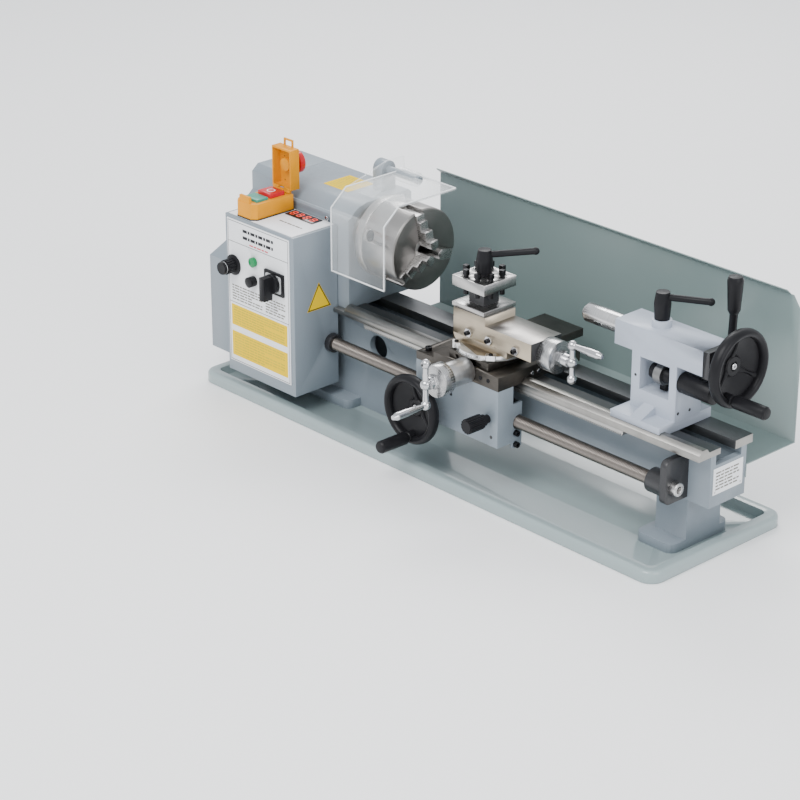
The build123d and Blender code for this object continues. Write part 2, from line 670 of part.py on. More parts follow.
keep("leadscrew", *leadscrew())
keep("chuck_guard", chuck_guard())


# ---------------------------------------------------------------- chuck
def about_spindle(angle):
    """Turn about the spindle; 0 degrees points to +Y, 90 degrees up."""
    return Pos(0, 0, CENTRE_Z) * Rot(angle, 0, 0)


def chuck_body():
    body = bar_x(CHUCK_X, 0, CENTRE_Z, CHUCK_R)
    body = chamfer(body.edges().group_by(Axis.X)[-1], 1.5)
    body -= bar_x((CHUCK_X[0] - 1, CHUCK_X[1] + 1), 0, CENTRE_Z, SPINDLE_BORE + 0.5)
    cavity = bar_x(CHUCK_CAVITY_X, 0, CENTRE_Z, CHUCK_CAVITY_R[1])
    cavity -= bar_x(CHUCK_CAVITY_X, 0, CENTRE_Z, CHUCK_CAVITY_R[0])
    body -= cavity
    for angle in JAW_ANGLES:
        half = JAW_WIDTH / 2 + FIT
        slot = box((CHUCK_CAVITY_X[1], CHUCK_X[1] + 1), (0, CHUCK_R + 1), (-half, half))
        body -= about_spindle(angle) * slot
    body -= about_spindle(KEY_ANGLE) * bar_y(KEY_X, (30, CHUCK_R + 1), 0, KEY_R + FIT)
    groove = bar_x((-150.5, -149.5), 0, CENTRE_Z, CHUCK_R + 1)
    return body - (groove - bar_x((-151, -149), 0, CENTRE_Z, CHUCK_R - 1))


def chuck_scroll():
    ring = bar_x(SCROLL_X, 0, CENTRE_Z, CHUCK_CAVITY_R[1] - FIT)
    return ring - bar_x((SCROLL_X[0] - 1, SCROLL_X[1] + 1), 0, CENTRE_Z, CHUCK_CAVITY_R[0] + FIT)


def chuck_jaw(angle):
    """Stepped jaw, highest at the middle of the chuck, with a pointed tip."""
    inner, outer, back = 4.5, 46.0, CHUCK_CAVITY_X[1] + 0.1
    half = JAW_WIDTH / 2
    steps = ((inner, -76), (16, -83), (27, -90), (38, -94))
    outline = [(back, inner)]
    for place, (y, x) in enumerate(steps):
        end = steps[place + 1][0] if place + 1 < len(steps) else outer
        outline += [(x, y), (x, end)]
    outline.append((back, outer))
    jaw = prism_z(outline, (-half, half))
    tip = half / math.tan(math.radians(60))
    for side in (1, -1):
        edge = side * (half + 1)
        corner = [(inner, 0), (inner - 1, 0), (inner - 1, edge), (inner + tip * 7 / 6, edge)]
        jaw -= prism_x(corner, (-130, -70))
    return about_spindle(angle) * jaw


def chuck_pinion():
    pinion = bar_y(KEY_X, (28, 48.5), 0, KEY_R)
    pinion -= box((KEY_X - 4, KEY_X + 4), (37, 50), (-4, 4))
    return about_spindle(KEY_ANGLE) * pinion


keep("chuck_body", chuck_body())
keep("chuck_scroll", chuck_scroll())
for number, jaw_angle in enumerate(JAW_ANGLES, 1):
    keep(f"chuck_jaw_{number}", chuck_jaw(jaw_angle))
keep("chuck_pinion", chuck_pinion())


# ---------------------------------------------------------------- carriage
def vee_groove(x):
    """Clearance over the front way for what slides on it."""
    outline = [(-48, 129), (-48, 131.3), (-41.8, VEE_Z + GAP), (-34.2, VEE_Z + GAP)]
    return prism_x(outline + [(-29.8, WAY_Z + GAP), (-29.8, 129)], x)


def saddle():
    body = box(CARRIAGE_X, CARRIAGE_Y, (WAY_Z + GAP, SADDLE_TOP))
    body -= vee_groove((CARRIAGE_X[0] - 1, CARRIAGE_X[1] + 1))
    body -= box((CARRIAGE_X[0] - 1, 8), (CARRIAGE_Y[0] - 1, CARRIAGE_Y[1] + 1), (140, 150))
    dovetail = [
        (SLIDE_X - 18, SADDLE_TOP), (SLIDE_X + 18, SADDLE_TOP), (SLIDE_X + 21, SADDLE_TOP + 6),
        (SLIDE_X - 21, SADDLE_TOP + 6),
    ]
    body += prism_y(dovetail, (-78, CARRIAGE_Y[1]))
    body -= box((SLIDE_X - 9, SLIDE_X + 9), (-78, CARRIAGE_Y[1] + 1), (136, 160))
    body -= bar_y(SLIDE_X, (CARRIAGE_Y[0] - 1, -77), CROSS_Z, 5 + FIT)
    keeper = box((CARRIAGE_X[0] + 10, CARRIAGE_X[1] - 10), (41, CARRIAGE_Y[1]), (113, WAY_Z + GAP))
    keeper += box((CARRIAGE_X[0] + 10, CARRIAGE_X[1] - 10), (REAR_WEB[1] + 2, CARRIAGE_Y[1]), (113, 119.5))
    return body + keeper


def apron():
    body = box(CARRIAGE_X, (CARRIAGE_Y[0], APRON_BACK), APRON_Z)
    body -= box((-17.7, 46), (-76, APRON_BACK + 1), (64, APRON_Z[1] + 1))
    body -= bar_y(WHEEL_X, (CARRIAGE_Y[0] - 1, -75), WHEEL_Z, 6 + FIT)
    body -= bar_y(RACK_PINION_X, (-81, -75), RACK_PINION_Z, 5 + FIT)
    body -= bar_y(NUT_X, (CARRIAGE_Y[0] - 1, APRON_BACK + 1), NUT_Z, 5 + FIT)
    for x in ((72, 75.7), (108.3, 112)):
        body += box(x, (APRON_BACK, -45), (54, 108))
    return body - bar_x((70, 114), SCREW_Y, SCREW_Z, SCREW_R + 1)


def cross_feed_bracket():
    """Round bracket that holds the cross feed screw at the front of the saddle."""
    body = bar_y(SLIDE_X, (-118, CARRIAGE_Y[0]), CROSS_Z, 15)
    return body - bar_y(SLIDE_X, (-119, -80), CROSS_Z, 5 + FIT)


def ball_crank(arm, handle, toward):
    """Balanced crank about local Z: two balls on an arm along local Y, handle on one of them."""
    crank = ball(0, 0, 0, 6.5) + rod((0, -arm, 0), (0, arm, 0), 3.3)
    crank += ball(0, arm, 0, 5.8) + ball(0, -arm, 0, 5.8)
    knob = turned([(0, 0), (3, 0), (3, 5), (4.8, handle * 0.6), (4.6, handle - 6), (2.5, handle), (0, handle)])
    return crank + Pos(0, toward * arm, 0) * knob


def cross_feed_crank():
    crank = facing_front(SLIDE_X, -146, CROSS_Z) * ball_crank(25, 50, -1)
    dial = bar_y(SLIDE_X, (-133, -118.3), CROSS_Z, 19) + bar_y(SLIDE_X, (-142, -133), CROSS_Z, 7)
    return crank + dial + bar_y(SLIDE_X, (-118.3, 40), CROSS_Z, 5)


def cross_slide():
    body = box((SLIDE_X - SLIDE_HALF, SLIDE_X + SLIDE_HALF), SLIDE_Y, SLIDE_Z)
    groove = [
        (SLIDE_X - 18 - GAP, SADDLE_TOP), (SLIDE_X + 18 + GAP, SADDLE_TOP),
        (SLIDE_X + 21 + 2 * GAP, SADDLE_TOP + 6 + GAP), (SLIDE_X - 21 - 2 * GAP, SADDLE_TOP + 6 + GAP),
    ]
    body -= prism_y(groove, (SLIDE_Y[0] - 1, SLIDE_Y[1] + 1))
    nut = box((SLIDE_X - 8, SLIDE_X + 8), (-6, 12), (137, 155)) - bar_y(SLIDE_X, (-7, 13), CROSS_Z, 5 + GAP)
    return body + nut


def compound_base():
    """Graduated swivel with the dovetail of the top slide."""
    disc = bar_z(SLIDE_X, SWIVEL_Y, (SLIDE_Z[1] + GAP, 163), SWIVEL_R)
    base = box((20, 105), (-64, -20), (162, 172.7))
    dovetail = [(-58, 172), (-26, 172), (-23, 180), (-61, 180)]
    base += prism_x(dovetail, (30, 105))
    groove = box((28, 106), (SWIVEL_Y - 7, SWIVEL_Y + 7), (170, 182))
    nut = box((62, 80), (SWIVEL_Y - 7, SWIVEL_Y + 7), (168, 180.2))
    nut -= bar_x((61, 81), SWIVEL_Y, COMPOUND_SCREW_Z, COMPOUND_SCREW_R + GAP)
    return disc + base - groove + nut


def compound_slide():
    body = box(COMPOUND_X, COMPOUND_Y, COMPOUND_Z)
    groove = [
        (-58 - GAP, 172), (-26 + GAP, 172), (-23 + 2 * GAP, 180 + GAP * 2), (-61 - 2 * GAP, 180 + GAP * 2),
    ]
    body -= prism_x(groove, (COMPOUND_X[0] - 1, COMPOUND_X[1] - 6))
    body += box((25, 75), COMPOUND_Y, (194, POST_Z[0]))
    wall = (COMPOUND_X[1] - 7, COMPOUND_X[1] + 1)
    body -= bar_x(wall, SWIVEL_Y, COMPOUND_SCREW_Z, COMPOUND_SCREW_R + FIT)
    return body + bar_z(POST_X, SWIVEL_Y, (200, 262), 5)


def compound_crank():
    crank = facing_right(184, SWIVEL_Y, COMPOUND_SCREW_Z) * Rot(0, 0, 90) * ball_crank(20, 44, 1)
    crank += bar_x((147.3, 166), SWIVEL_Y, COMPOUND_SCREW_Z, 19)
    crank += bar_x((166, 180), SWIVEL_Y, COMPOUND_SCREW_Z, 7)
    return crank + bar_x((45, 148), SWIVEL_Y, COMPOUND_SCREW_Z, COMPOUND_SCREW_R)


def tool_post():
    x = (POST_X - POST_HALF, POST_X + POST_HALF)
    y = (SWIVEL_Y - POST_HALF, SWIVEL_Y + POST_HALF)
    body = box(x, y, (POST_Z[0], POST_Z[0] + 5)) + box(x, y, (POST_Z[1] - 12.5, POST_Z[1]))
    core = 12.0
    body += box((POST_X - core, POST_X + core), (SWIVEL_Y - core, SWIVEL_Y + core), POST_Z)
    for x, y in post_screw_places():
        body -= bar_z(x, y, (POST_Z[1] - 13, POST_Z[1] + 1), 3)
    return body - bar_z(POST_X, SWIVEL_Y, (200, 250), 5 + FIT)


def post_screw_places():
    """Two clamp screws over each of the four tool slots."""
    near, far = 9.0, 19.5
    corners = [(far, near), (far, -near), (-far, near), (-far, -near)]
    corners += [(near, far), (-near, far), (near, -far), (-near, -far)]
    return [(POST_X + a, SWIVEL_Y + b) for a, b in corners]


def tool_post_screws():
    screws = []
    for x, y in post_screw_places():
        screw = bar_z(x, y, (POST_Z[1] - 20, POST_Z[1] + 3), 3)
        screws.append(screw + box((x - 2.8, x + 2.8), (y - 2.8, y + 2.8), (POST_Z[1] + 3, POST_Z[1] + 9)))
    return screws


def clamping_lever(angle, height, length, rise, bore):
    """Lever hub about local Z with an arm that points at angle degrees."""
    hub = turned([(0, 0), (8.5, 0), (9.5, height * 0.6), (7.5, height), (0, height)])
    a = math.radians(angle)
    start = (6 * math.cos(a), 6 * math.sin(a), height - 6)
    end = (length * math.cos(a), length * math.sin(a), height - 6 + rise)
    arm = rod(start, end, 3.8) + ball(*end, 4.4)
    return hub + arm - bar_z(0, 0, (-1, height - 8), bore)


keep("saddle", saddle())
keep("apron", apron())
keep("cross_feed_bracket", cross_feed_bracket())
keep("cross_feed_crank", cross_feed_crank())
keep("cross_slide", cross_slide())
keep("compound_base", compound_base())
keep("compound_slide", compound_slide())
keep("compound_crank", compound_crank())
keep("tool_post", tool_post())
keep("tool_post_screws", *tool_post_screws())
on_post = Pos(POST_X, SWIVEL_Y, POST_Z[1] + GAP)
keep("tool_post_lever", on_post * clamping_lever(47, 30, 57, 4, 5 + FIT))


def carriage_handwheel():
    """Handwheel with its shaft, and the gear on the shaft inside the apron."""
    wheel = facing_front(WHEEL_X, -107, WHEEL_Z) * handwheel(42, 11)
    wheel += bar_y(WHEEL_X, (-101, -74.3), WHEEL_Z, 6)
    wheel += bar_y(WHEEL_X, (-116.2, -105), WHEEL_Z - GRIP_ARM, 6)
    return wheel, gear_y(WHEEL_TEETH, WHEEL_TOOTH, WHEEL_X, (-74.3, -65), WHEEL_Z)


GRIP_ARM = 33.0
WHEEL_TOOTH = 90.0
TOWARDS_TRANSFER = math.degrees(math.atan2(RACK_PINION_Z - WHEEL_Z, RACK_PINION_X - WHEEL_X))
TRANSFER_TOOTH = meshed(WHEEL_TEETH, WHEEL_TOOTH, TRANSFER_TEETH, TOWARDS_TRANSFER)


def rack_pinion():
    """Transfer gear and rack pinion on one shaft."""
    shaft = bar_y(RACK_PINION_X, (-80, -37), RACK_PINION_Z, 5)
    shaft += gear_y(TRANSFER_TEETH, TRANSFER_TOOTH, RACK_PINION_X, (-73, -66), RACK_PINION_Z)
    return shaft + gear_y(RACK_TEETH, 90.0, RACK_PINION_X, (-47.5, -37), RACK_PINION_Z)


def half_nut(side):
    """Half of the leadscrew nut, drawn back from the screw by its opening."""
    open_by = 8.0
    top = (SCREW_Z, SCREW_Z + 13) if side > 0 else (SCREW_Z - 13, SCREW_Z)
    nut = box((76, 108), (-59.2, -41), top) - bar_x((75, 109), SCREW_Y, SCREW_Z, SCREW_R + GAP)
    return Pos(0, 0, side * open_by) * nut


def half_nut_lever():
    lever = bar_y(NUT_X, (CARRIAGE_Y[0] - 8, -60), NUT_Z, 5)
    return lever + bar_y(NUT_X, (-118, CARRIAGE_Y[0] - 6), NUT_Z, 9)


def carriage_screws():
    """Screws in the saddle's wing, in the apron and beside its nut guides."""
    screws = [cap_screw(facing_right(CARRIAGE_X[1], -55, z), 2.2, 4.5, 2) for z in (72, 58)]
    return screws + [cap_screw(Pos(-12, -72, 140), 2.5, 4, 6)]


keep("carriage_handwheel", *carriage_handwheel())
keep("carriage_grip", facing_front(WHEEL_X, -116.5, WHEEL_Z - GRIP_ARM) * grip(42))
keep("rack_pinion", rack_pinion())
keep("half_nut_upper", half_nut(1))
keep("half_nut_lower", half_nut(-1))
keep("half_nut_lever", half_nut_lever())


# ---------------------------------------------------------------- tailstock
def tailstock_body():
    y = (-TAIL_HALF, TAIL_HALF)
    body = box(TAIL_X, y, TAIL_Z) + box(LEG_X, y, (TAIL_BASE_TOP - 1, TAIL_Z[0]))
    body += box(TAIL_BASE_X, (-44, 40), (WAY_Z + GAP, TAIL_BASE_TOP))
    body += prism_x([(-44, TAIL_BASE_TOP), (-20, 152), (-20, TAIL_BASE_TOP)], (272, 288))
    body -= vee_groove((TAIL_BASE_X[0] - 1, TAIL_BASE_X[1] + 1))
    body -= box((264, 306), (-TAIL_HALF - 1, TAIL_HALF + 1), (165, 203))
    body += bar_z(LOCK_X, 0, (TAIL_Z[1] - 2, 244), 11)
    body -= bar_x((TAIL_X[0] - 1, TAIL_X[1] + 1), 0, CENTRE_Z, QUILL_R + FIT)
    body -= bar_x((305, LEG_X[1] + 1), CAM_Y, CAM_Z, 6 + FIT)
    body -= bar_z(285, CAM_Y + 9, (125, 166), 4 + GAP)
    plate = box((TAIL_X[1], TAIL_X[1] + 9), y, (205, TAIL_Z[1]))
    return body, plate - bar_x((350, 362), 0, CENTRE_Z, 7 + FIT)


def quill():
    shaft = bar_x((QUILL_TIP, 346 - 58), 0, CENTRE_Z, QUILL_R)
    shaft = chamfer(shaft.edges().group_by(Axis.X)[0], 3)
    shaft -= bar_x((QUILL_TIP - 1, QUILL_TIP + 50), 0, CENTRE_Z, 6)
    return shaft - bar_x((QUILL_TIP, 347), 0, CENTRE_Z, 4.5)


def tailstock_handwheel():
    wheel = facing_right(381, 0, CENTRE_Z) * handwheel(44, 12)
    wheel += bar_x((232, 368), 0, CENTRE_Z, 4) + bar_x((347, 368), 0, CENTRE_Z, 7)
    wheel += bar_x((379, 391.2), TAIL_GRIP_Y, TAIL_GRIP_Z, 6)
    return wheel


TAIL_GRIP_Y, TAIL_GRIP_Z = -16.0, CENTRE_Z - 30.0


def cam_lever():
    """Eccentric shaft with its collar and a lever cranked round the back of the tailstock."""
    shaft = bar_x((300, LEG_X[1] + GAP), CAM_Y, CAM_Z, 6)
    shaft += bar_x((272, 300), CAM_Y + 2, CAM_Z, 9)
    shaft += bar_x((LEG_X[1] + GAP, 360), CAM_Y, CAM_Z, 12)
    elbow = (345, 30, CAM_Z + 3)
    shaft += rod((345, CAM_Y + 8, CAM_Z), elbow, 4.5) + ball(*elbow, 4.5)
    top = (345, 33, 262)
    shaft += rod(elbow, top, 4.5)
    handle = turned([(0, 0), (5, 0), (7, 4), (9, 38), (7.5, 42), (0, 43)])
    return shaft + Pos(*top) * handle


def tailstock_clamp():
    """Clamp bolt, nut and the plate under the ways."""
    bolt = bar_z(285, CAM_Y + 9, (96, 172), 4)
    plate = box((262, 308), (FRONT_WEB[1] + 1, REAR_WEB[0] - 1), (100, 110))
    nut = box((278.5, 291.5), (CAM_Y + 2.5, CAM_Y + 15.5), (94, 100))
    return bolt + plate + nut


keep("tailstock_body", *tailstock_body())
keep("quill", quill())
keep("tailstock_handwheel", tailstock_handwheel())
keep("tailstock_grip", facing_right(391.5, TAIL_GRIP_Y, TAIL_GRIP_Z) * grip(45))
keep("quill_lock_lever", Pos(LOCK_X, 0, 244 + GAP) * clamping_lever(30, 31, 52, 0, 4 + FIT))
keep("cam_lever", cam_lever())
keep("tailstock_clamp", tailstock_clamp())
keep("carriage_screws", *carriage_screws())
for screw in carriage_screws():
    NODES["saddle"] -= screw
    NODES["apron"] -= screw

for node, shape in NODES.items():
    export_step(shape, f"parts/{node}.step")
print(len(NODES), "nodes")
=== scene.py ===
import bpy
import bmesh
import math
from mathutils import Matrix, Vector


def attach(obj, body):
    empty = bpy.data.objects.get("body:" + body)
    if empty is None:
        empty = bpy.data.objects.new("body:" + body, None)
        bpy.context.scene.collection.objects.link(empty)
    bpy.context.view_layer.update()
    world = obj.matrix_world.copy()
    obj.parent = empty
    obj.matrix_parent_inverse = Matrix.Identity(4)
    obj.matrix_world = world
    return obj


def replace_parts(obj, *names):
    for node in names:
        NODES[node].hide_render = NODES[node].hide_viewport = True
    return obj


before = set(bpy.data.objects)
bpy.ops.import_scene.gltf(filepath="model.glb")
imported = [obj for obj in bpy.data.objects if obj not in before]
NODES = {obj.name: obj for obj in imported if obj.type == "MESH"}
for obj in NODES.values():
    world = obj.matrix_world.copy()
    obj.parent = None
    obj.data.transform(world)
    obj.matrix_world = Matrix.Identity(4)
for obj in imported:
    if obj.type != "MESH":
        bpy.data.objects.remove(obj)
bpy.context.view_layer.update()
MM = 0.001
CENTRE_Z = 220.5
SCENE = bpy.context.scene


# ------------------------------------------------------------------ camera, light and floor
def camera():
    azimuth, elevation = math.radians(47.0), math.radians(24.1)
    ahead = Vector((
        -math.sin(azimuth) * math.cos(elevation),
        math.cos(azimuth) * math.cos(elevation),
        -math.sin(elevation),
    ))
    data = bpy.data.cameras.new("camera")
    data.lens = 117.9
    data.sensor_width = 36.0
    data.clip_start = 0.05
    obj = bpy.data.objects.new("camera", data)
    obj.location = (1.9815, -1.9759, 1.310)
    obj.rotation_euler = ahead.to_track_quat("-Z", "Y").to_euler()
    SCENE.collection.objects.link(obj)
    SCENE.camera = obj


def area_light(name, place, target, size, power, colour=(1, 1, 1)):
    data = bpy.data.lights.new(name, "AREA")
    data.shape = "RECTANGLE"
    data.size, data.size_y = size
    data.energy = power
    data.color = colour
    obj = bpy.data.objects.new(name, data)
    obj.location = place
    obj.rotation_euler = (Vector(target) - Vector(place)).to_track_quat("-Z", "Y").to_euler()
    SCENE.collection.objects.link(obj)


def studio():
    world = bpy.data.worlds.new("studio")
    SCENE.world = world
    world.use_nodes = True
    background = world.node_tree.nodes["Background"]
    background.inputs["Color"].default_value = (0.93, 0.96, 1.0, 1)
    background.inputs["Strength"].default_value = 1.25
    area_light("key", (0.2, -1.6, 2.2), (0, 0, 0.1), (1.6, 1.2), 62)
    area_light("fill", (2.2, -0.3, 1.2), (0, 0, 0.15), (1.2, 1.2), 20)
    area_light("back", (-1.2, 1.3, 1.9), (0, 0, 0.2), (1.4, 0.8), 36)
    bpy.ops.mesh.primitive_plane_add(size=9, location=(0, 0, -0.0004))
    floor = bpy.context.object
    floor.name = "floor"
    material = bpy.data.materials.new("floor")
    material.use_nodes = True
    shader = material.node_tree.nodes["Principled BSDF"]
    shader.inputs["Base Color"].default_value = (0.93, 0.93, 0.93, 1)
    shader.inputs["Roughness"].default_value = 0.6
    floor.data.materials.append(material)


# ------------------------------------------------------------------ materials
class Shade:
    """Small helper that builds one procedural material."""

    def __init__(self, name, metallic=0.0, roughness=0.5, **sockets):
        self.material = bpy.data.materials.new(name)
        self.material.use_nodes = True
        self.tree = self.material.node_tree
        self.shader = self.tree.nodes["Principled BSDF"]
        self.shader.inputs["Metallic"].default_value = metallic
        self.shader.inputs["Roughness"].default_value = roughness
        for key, value in sockets.items():
            self.shader.inputs[key.replace("_", " ")].default_value = value
        self.place = self.tree.nodes.new("ShaderNodeTexCoord").outputs["Object"]
        self.height = None

    def put(self, socket, value):
        if isinstance(value, bpy.types.NodeSocket):
            self.tree.links.new(value, socket)
        elif value is not None:
            socket.default_value = value

    def math(self, kind, a, b=None):
        node = self.tree.nodes.new("ShaderNodeMath")
        node.operation = kind
        self.put(node.inputs[0], a)
        self.put(node.inputs[1], b)
        return node.outputs[0]

    def split(self, vector):
        node = self.tree.nodes.new("ShaderNodeSeparateXYZ")
        self.put(node.inputs[0], vector)
        return node.outputs

    def join(self, x, y, z):
        node = self.tree.nodes.new("ShaderNodeCombineXYZ")
        for socket, value in zip(node.inputs, (x, y, z)):
            self.put(socket, value)
        return node.outputs[0]

    def stretched(self, scale):
        node = self.tree.nodes.new("ShaderNodeMapping")
        self.put(node.inputs["Vector"], self.place)
        node.inputs["Scale"].default_value = scale
        return node.outputs[0]

    def noise(self, vector=None, scale=1.0, detail=3.0, rough=0.55):
        node = self.tree.nodes.new("ShaderNodeTexNoise")
        self.put(node.inputs["Vector"], vector or self.place)
        node.inputs["Scale"].default_value = scale
        node.inputs["Detail"].default_value = detail
        node.inputs["Roughness"].default_value = rough
        return node.outputs["Fac"]

    def span(self, value, low, high, start=0.0, end=1.0):
        node = self.tree.nodes.new("ShaderNodeMapRange")
        self.put(node.inputs["Value"], value)
        node.inputs["From Min"].default_value = start
        node.inputs["From Max"].default_value = end
        node.inputs["To Min"].default_value = low
        node.inputs["To Max"].default_value = high
        return node.outputs[0]

    def colours(self, value, *stops):
        node = self.tree.nodes.new("ShaderNodeValToRGB")
        self.put(node.inputs["Fac"], value)
        ramp = node.color_ramp
        while len(ramp.elements) < len(stops):
            ramp.elements.new(0.5)
        for element, (place, colour) in zip(ramp.elements, stops):
            element.position = place
            element.color = (*colour, 1)
        return node.outputs["Color"]

    def mix(self, factor, a, b):
        node = self.tree.nodes.new("ShaderNodeMix")
        node.data_type = "RGBA"
        self.put(node.inputs["Factor"], factor)
        self.put(node.inputs[6], a)
        self.put(node.inputs[7], b)
        return node.outputs[2]

    def base(self, value):
        self.put(self.shader.inputs["Base Color"], value)

    def rough(self, value):
        self.put(self.shader.inputs["Roughness"], value)

    def bump(self, height, distance, strength=1.0):
        node = self.tree.nodes.new("ShaderNodeBump")
        node.inputs["Distance"].default_value = distance
        node.inputs["Strength"].default_value = strength
        self.put(node.inputs["Height"], height)
        if self.height is not None:
            self.put(node.inputs["Normal"], self.height)
        self.height = node.outputs[0]
        self.put(self.shader.inputs["Normal"], self.height)


def tint(colour, factor):
    return tuple(min(1.0, c * factor) for c in colour)


def paint(name, colour, rough=0.35, peel=0.00012, coat=0.15, gloss=0.5):
    """Sprayed enamel: slight orange peel, faint dust and gloss changes."""
    s = Shade(name, roughness=rough, Coat_Weight=coat, Coat_Roughness=0.12, Specular_IOR_Level=gloss)
    broad = s.noise(scale=9, detail=4)
    s.base(s.colours(broad, (0.25, tint(colour, 0.98)), (0.75, tint(colour, 1.02))))
    s.rough(s.span(s.noise(scale=40, detail=4), rough - 0.01, rough + 0.02, 0.3, 0.7))
    s.bump(s.noise(scale=420, detail=2), peel)
    return s.material


def cast_paint(name, colour, rough=0.45):
    """Enamel over a sand casting: the grain of the casting shows through."""
    s = Shade(name, roughness=rough, Coat_Weight=0.12, Coat_Roughness=0.2)
    broad = s.noise(scale=14, detail=5)
    s.base(s.colours(broad, (0.25, tint(colour, 0.9)), (0.75, tint(colour, 1.08))))
    s.rough(s.span(s.noise(scale=60), rough - 0.07, rough + 0.1, 0.3, 0.7))
    s.bump(s.noise(scale=55, detail=3), 0.0006, 0.6)
    s.bump(s.noise(scale=520, detail=3), 0.00015)
    return s.material


def ground_steel(name, colour, along, rough=0.28, oil=0.0):
    """Ground steel with its grinding lines along one direction and faint oil stains."""
    s = Shade(name, metallic=1.0, roughness=rough)
    fine = [1600.0, 1600.0, 1600.0]
    fine["xyz".index(along)] = 25.0
    lines = s.noise(s.stretched(fine), detail=4, rough=0.7)
    stains = s.noise(scale=22, detail=6)
    clean = s.colours(lines, (0.3, tint(colour, 0.9)), (0.7, tint(colour, 1.07)))
    stained = s.colours(stains, (0.35, (1 - oil,) * 3), (0.65, (1.0,) * 3))
    node = s.tree.nodes.new("ShaderNodeMix")
    node.data_type = "RGBA"
    node.blend_type = "MULTIPLY"
    node.inputs["Factor"].default_value = 1.0
    s.put(node.inputs[6], clean)
    s.put(node.inputs[7], stained)
    s.base(node.outputs[2])
    s.rough(s.span(lines, rough - 0.03, rough + 0.08, 0.3, 0.7))
    s.bump(lines, 0.00001)
    return s.material


def turned_steel(name, colour, centre, axis="x", rough=0.26, metallic=1.0, lines=1500.0):
    """Steel turned on a lathe: fine circular tool marks about its axis."""
    s = Shade(name, metallic=metallic, roughness=rough, Anisotropic=0.5)
    part = dict(zip("xyz", s.split(s.place)))
    others = [k for k in "xyz" if k != axis]
    a = s.math("SUBTRACT", part[others[0]], centre[0] * MM)
    b = s.math("SUBTRACT", part[others[1]], centre[1] * MM)
    squares = s.math("ADD", s.math("MULTIPLY", a, a), s.math("MULTIPLY", b, b))
    radius = s.math("SQRT", squares)
    out = s.math("MULTIPLY", radius, lines)
    along = s.math("MULTIPLY", part[axis], lines)
    marks = s.noise(s.join(out, along, 0.0), detail=3)
    broad = s.noise(scale=30, detail=4)
    fac = s.math("ADD", s.math("MULTIPLY", marks, 0.75), s.math("MULTIPLY", broad, 0.25))
    s.base(s.colours(fac, (0.35, tint(colour, 0.9)), (0.65, tint(colour, 1.08))))
    s.rough(s.span(marks, rough - 0.03, rough + 0.07, 0.3, 0.7))
    s.bump(marks, 0.00001)
    return s.material


def plastic(name, colour, rough=0.35, grain=0.00005, scale=900, coat=0.0):
    """Moulded plastic with a fine spark-eroded texture."""
    s = Shade(name, roughness=rough, Coat_Weight=coat, Coat_Roughness=0.1, Specular_IOR_Level=0.15)
    s.base(s.colours(s.noise(scale=25, detail=4), (0.3, tint(colour, 0.9)), (0.7, tint(colour, 1.1))))
    s.rough(s.span(s.noise(scale=90), rough - 0.06, rough + 0.08, 0.3, 0.7))
    s.bump(s.noise(scale=scale, detail=2), grain)
    return s.material


def graduated(name, colour, centre, axis, band, count, metallic=1.0, rough=0.24):
    """Turned dial with engraved lines round part of it; band gives the limits along its axis."""
    s = Shade(name, metallic=metallic, roughness=rough)
    part = dict(zip("xyz", s.split(s.place)))
    others = [k for k in "xyz" if k != axis]
    a = s.math("SUBTRACT", part[others[0]], centre[0] * MM)
    b = s.math("SUBTRACT", part[others[1]], centre[1] * MM)
    turns = s.math("MULTIPLY", s.math("ARCTAN2", a, b), count / (2 * math.pi))
    line = s.math("LESS_THAN", s.math("ABSOLUTE", s.math("SUBTRACT", s.math("FRACT", turns), 0.5)), 0.1)
    inside = s.math("MULTIPLY", s.math("GREATER_THAN", part[axis], band[0] * MM),
                    s.math("LESS_THAN", part[axis], band[1] * MM))
    radius = s.math("SQRT", s.math("ADD", s.math("MULTIPLY", a, a), s.math("MULTIPLY", b, b)))
    marks = s.noise(s.join(s.math("MULTIPLY", radius, 1500), s.math("MULTIPLY", part[axis], 1500), 0.0))
    steel = s.colours(marks, (0.35, tint(colour, 0.82)), (0.65, tint(colour, 1.12)))
    engraved = s.math("MULTIPLY", line, inside)
    s.base(s.mix(engraved, steel, (0.03, 0.03, 0.03, 1)))
    s.rough(s.span(marks, rough - 0.06, rough + 0.12, 0.3, 0.7))
    s.bump(s.math("SUBTRACT", marks, engraved), 0.00006)
    return s.material


def clear_sheet(name):
    """Clear acrylic: almost invisible face on, brighter towards grazing and with faint wipe marks."""
    s = Shade(name, roughness=0.06, IOR=1.49)
    s.base(s.colours(s.noise(scale=18), (0.3, (0.86, 0.89, 0.9)), (0.7, (0.93, 0.95, 0.95))))
    facing = s.tree.nodes.new("ShaderNodeLayerWeight")
    facing.inputs["Blend"].default_value = 0.5
    s.put(s.shader.inputs["Alpha"], s.span(facing.outputs["Facing"], 0.06, 0.34, 0.3, 0.7))
    s.rough(s.span(s.noise(scale=60), 0.04, 0.1, 0.3, 0.7))
    return s.material


def clear_edge(name):
    """Edge of a clear sheet: it gathers light and shows white."""
    s = Shade(name, roughness=0.15, Alpha=0.85)
    s.base(s.colours(s.noise(scale=120), (0.3, (0.8, 0.84, 0.86)), (0.7, (0.97, 0.98, 0.98))))
    return s.material


GREY = (0.195, 0.232, 0.265)
M = {}


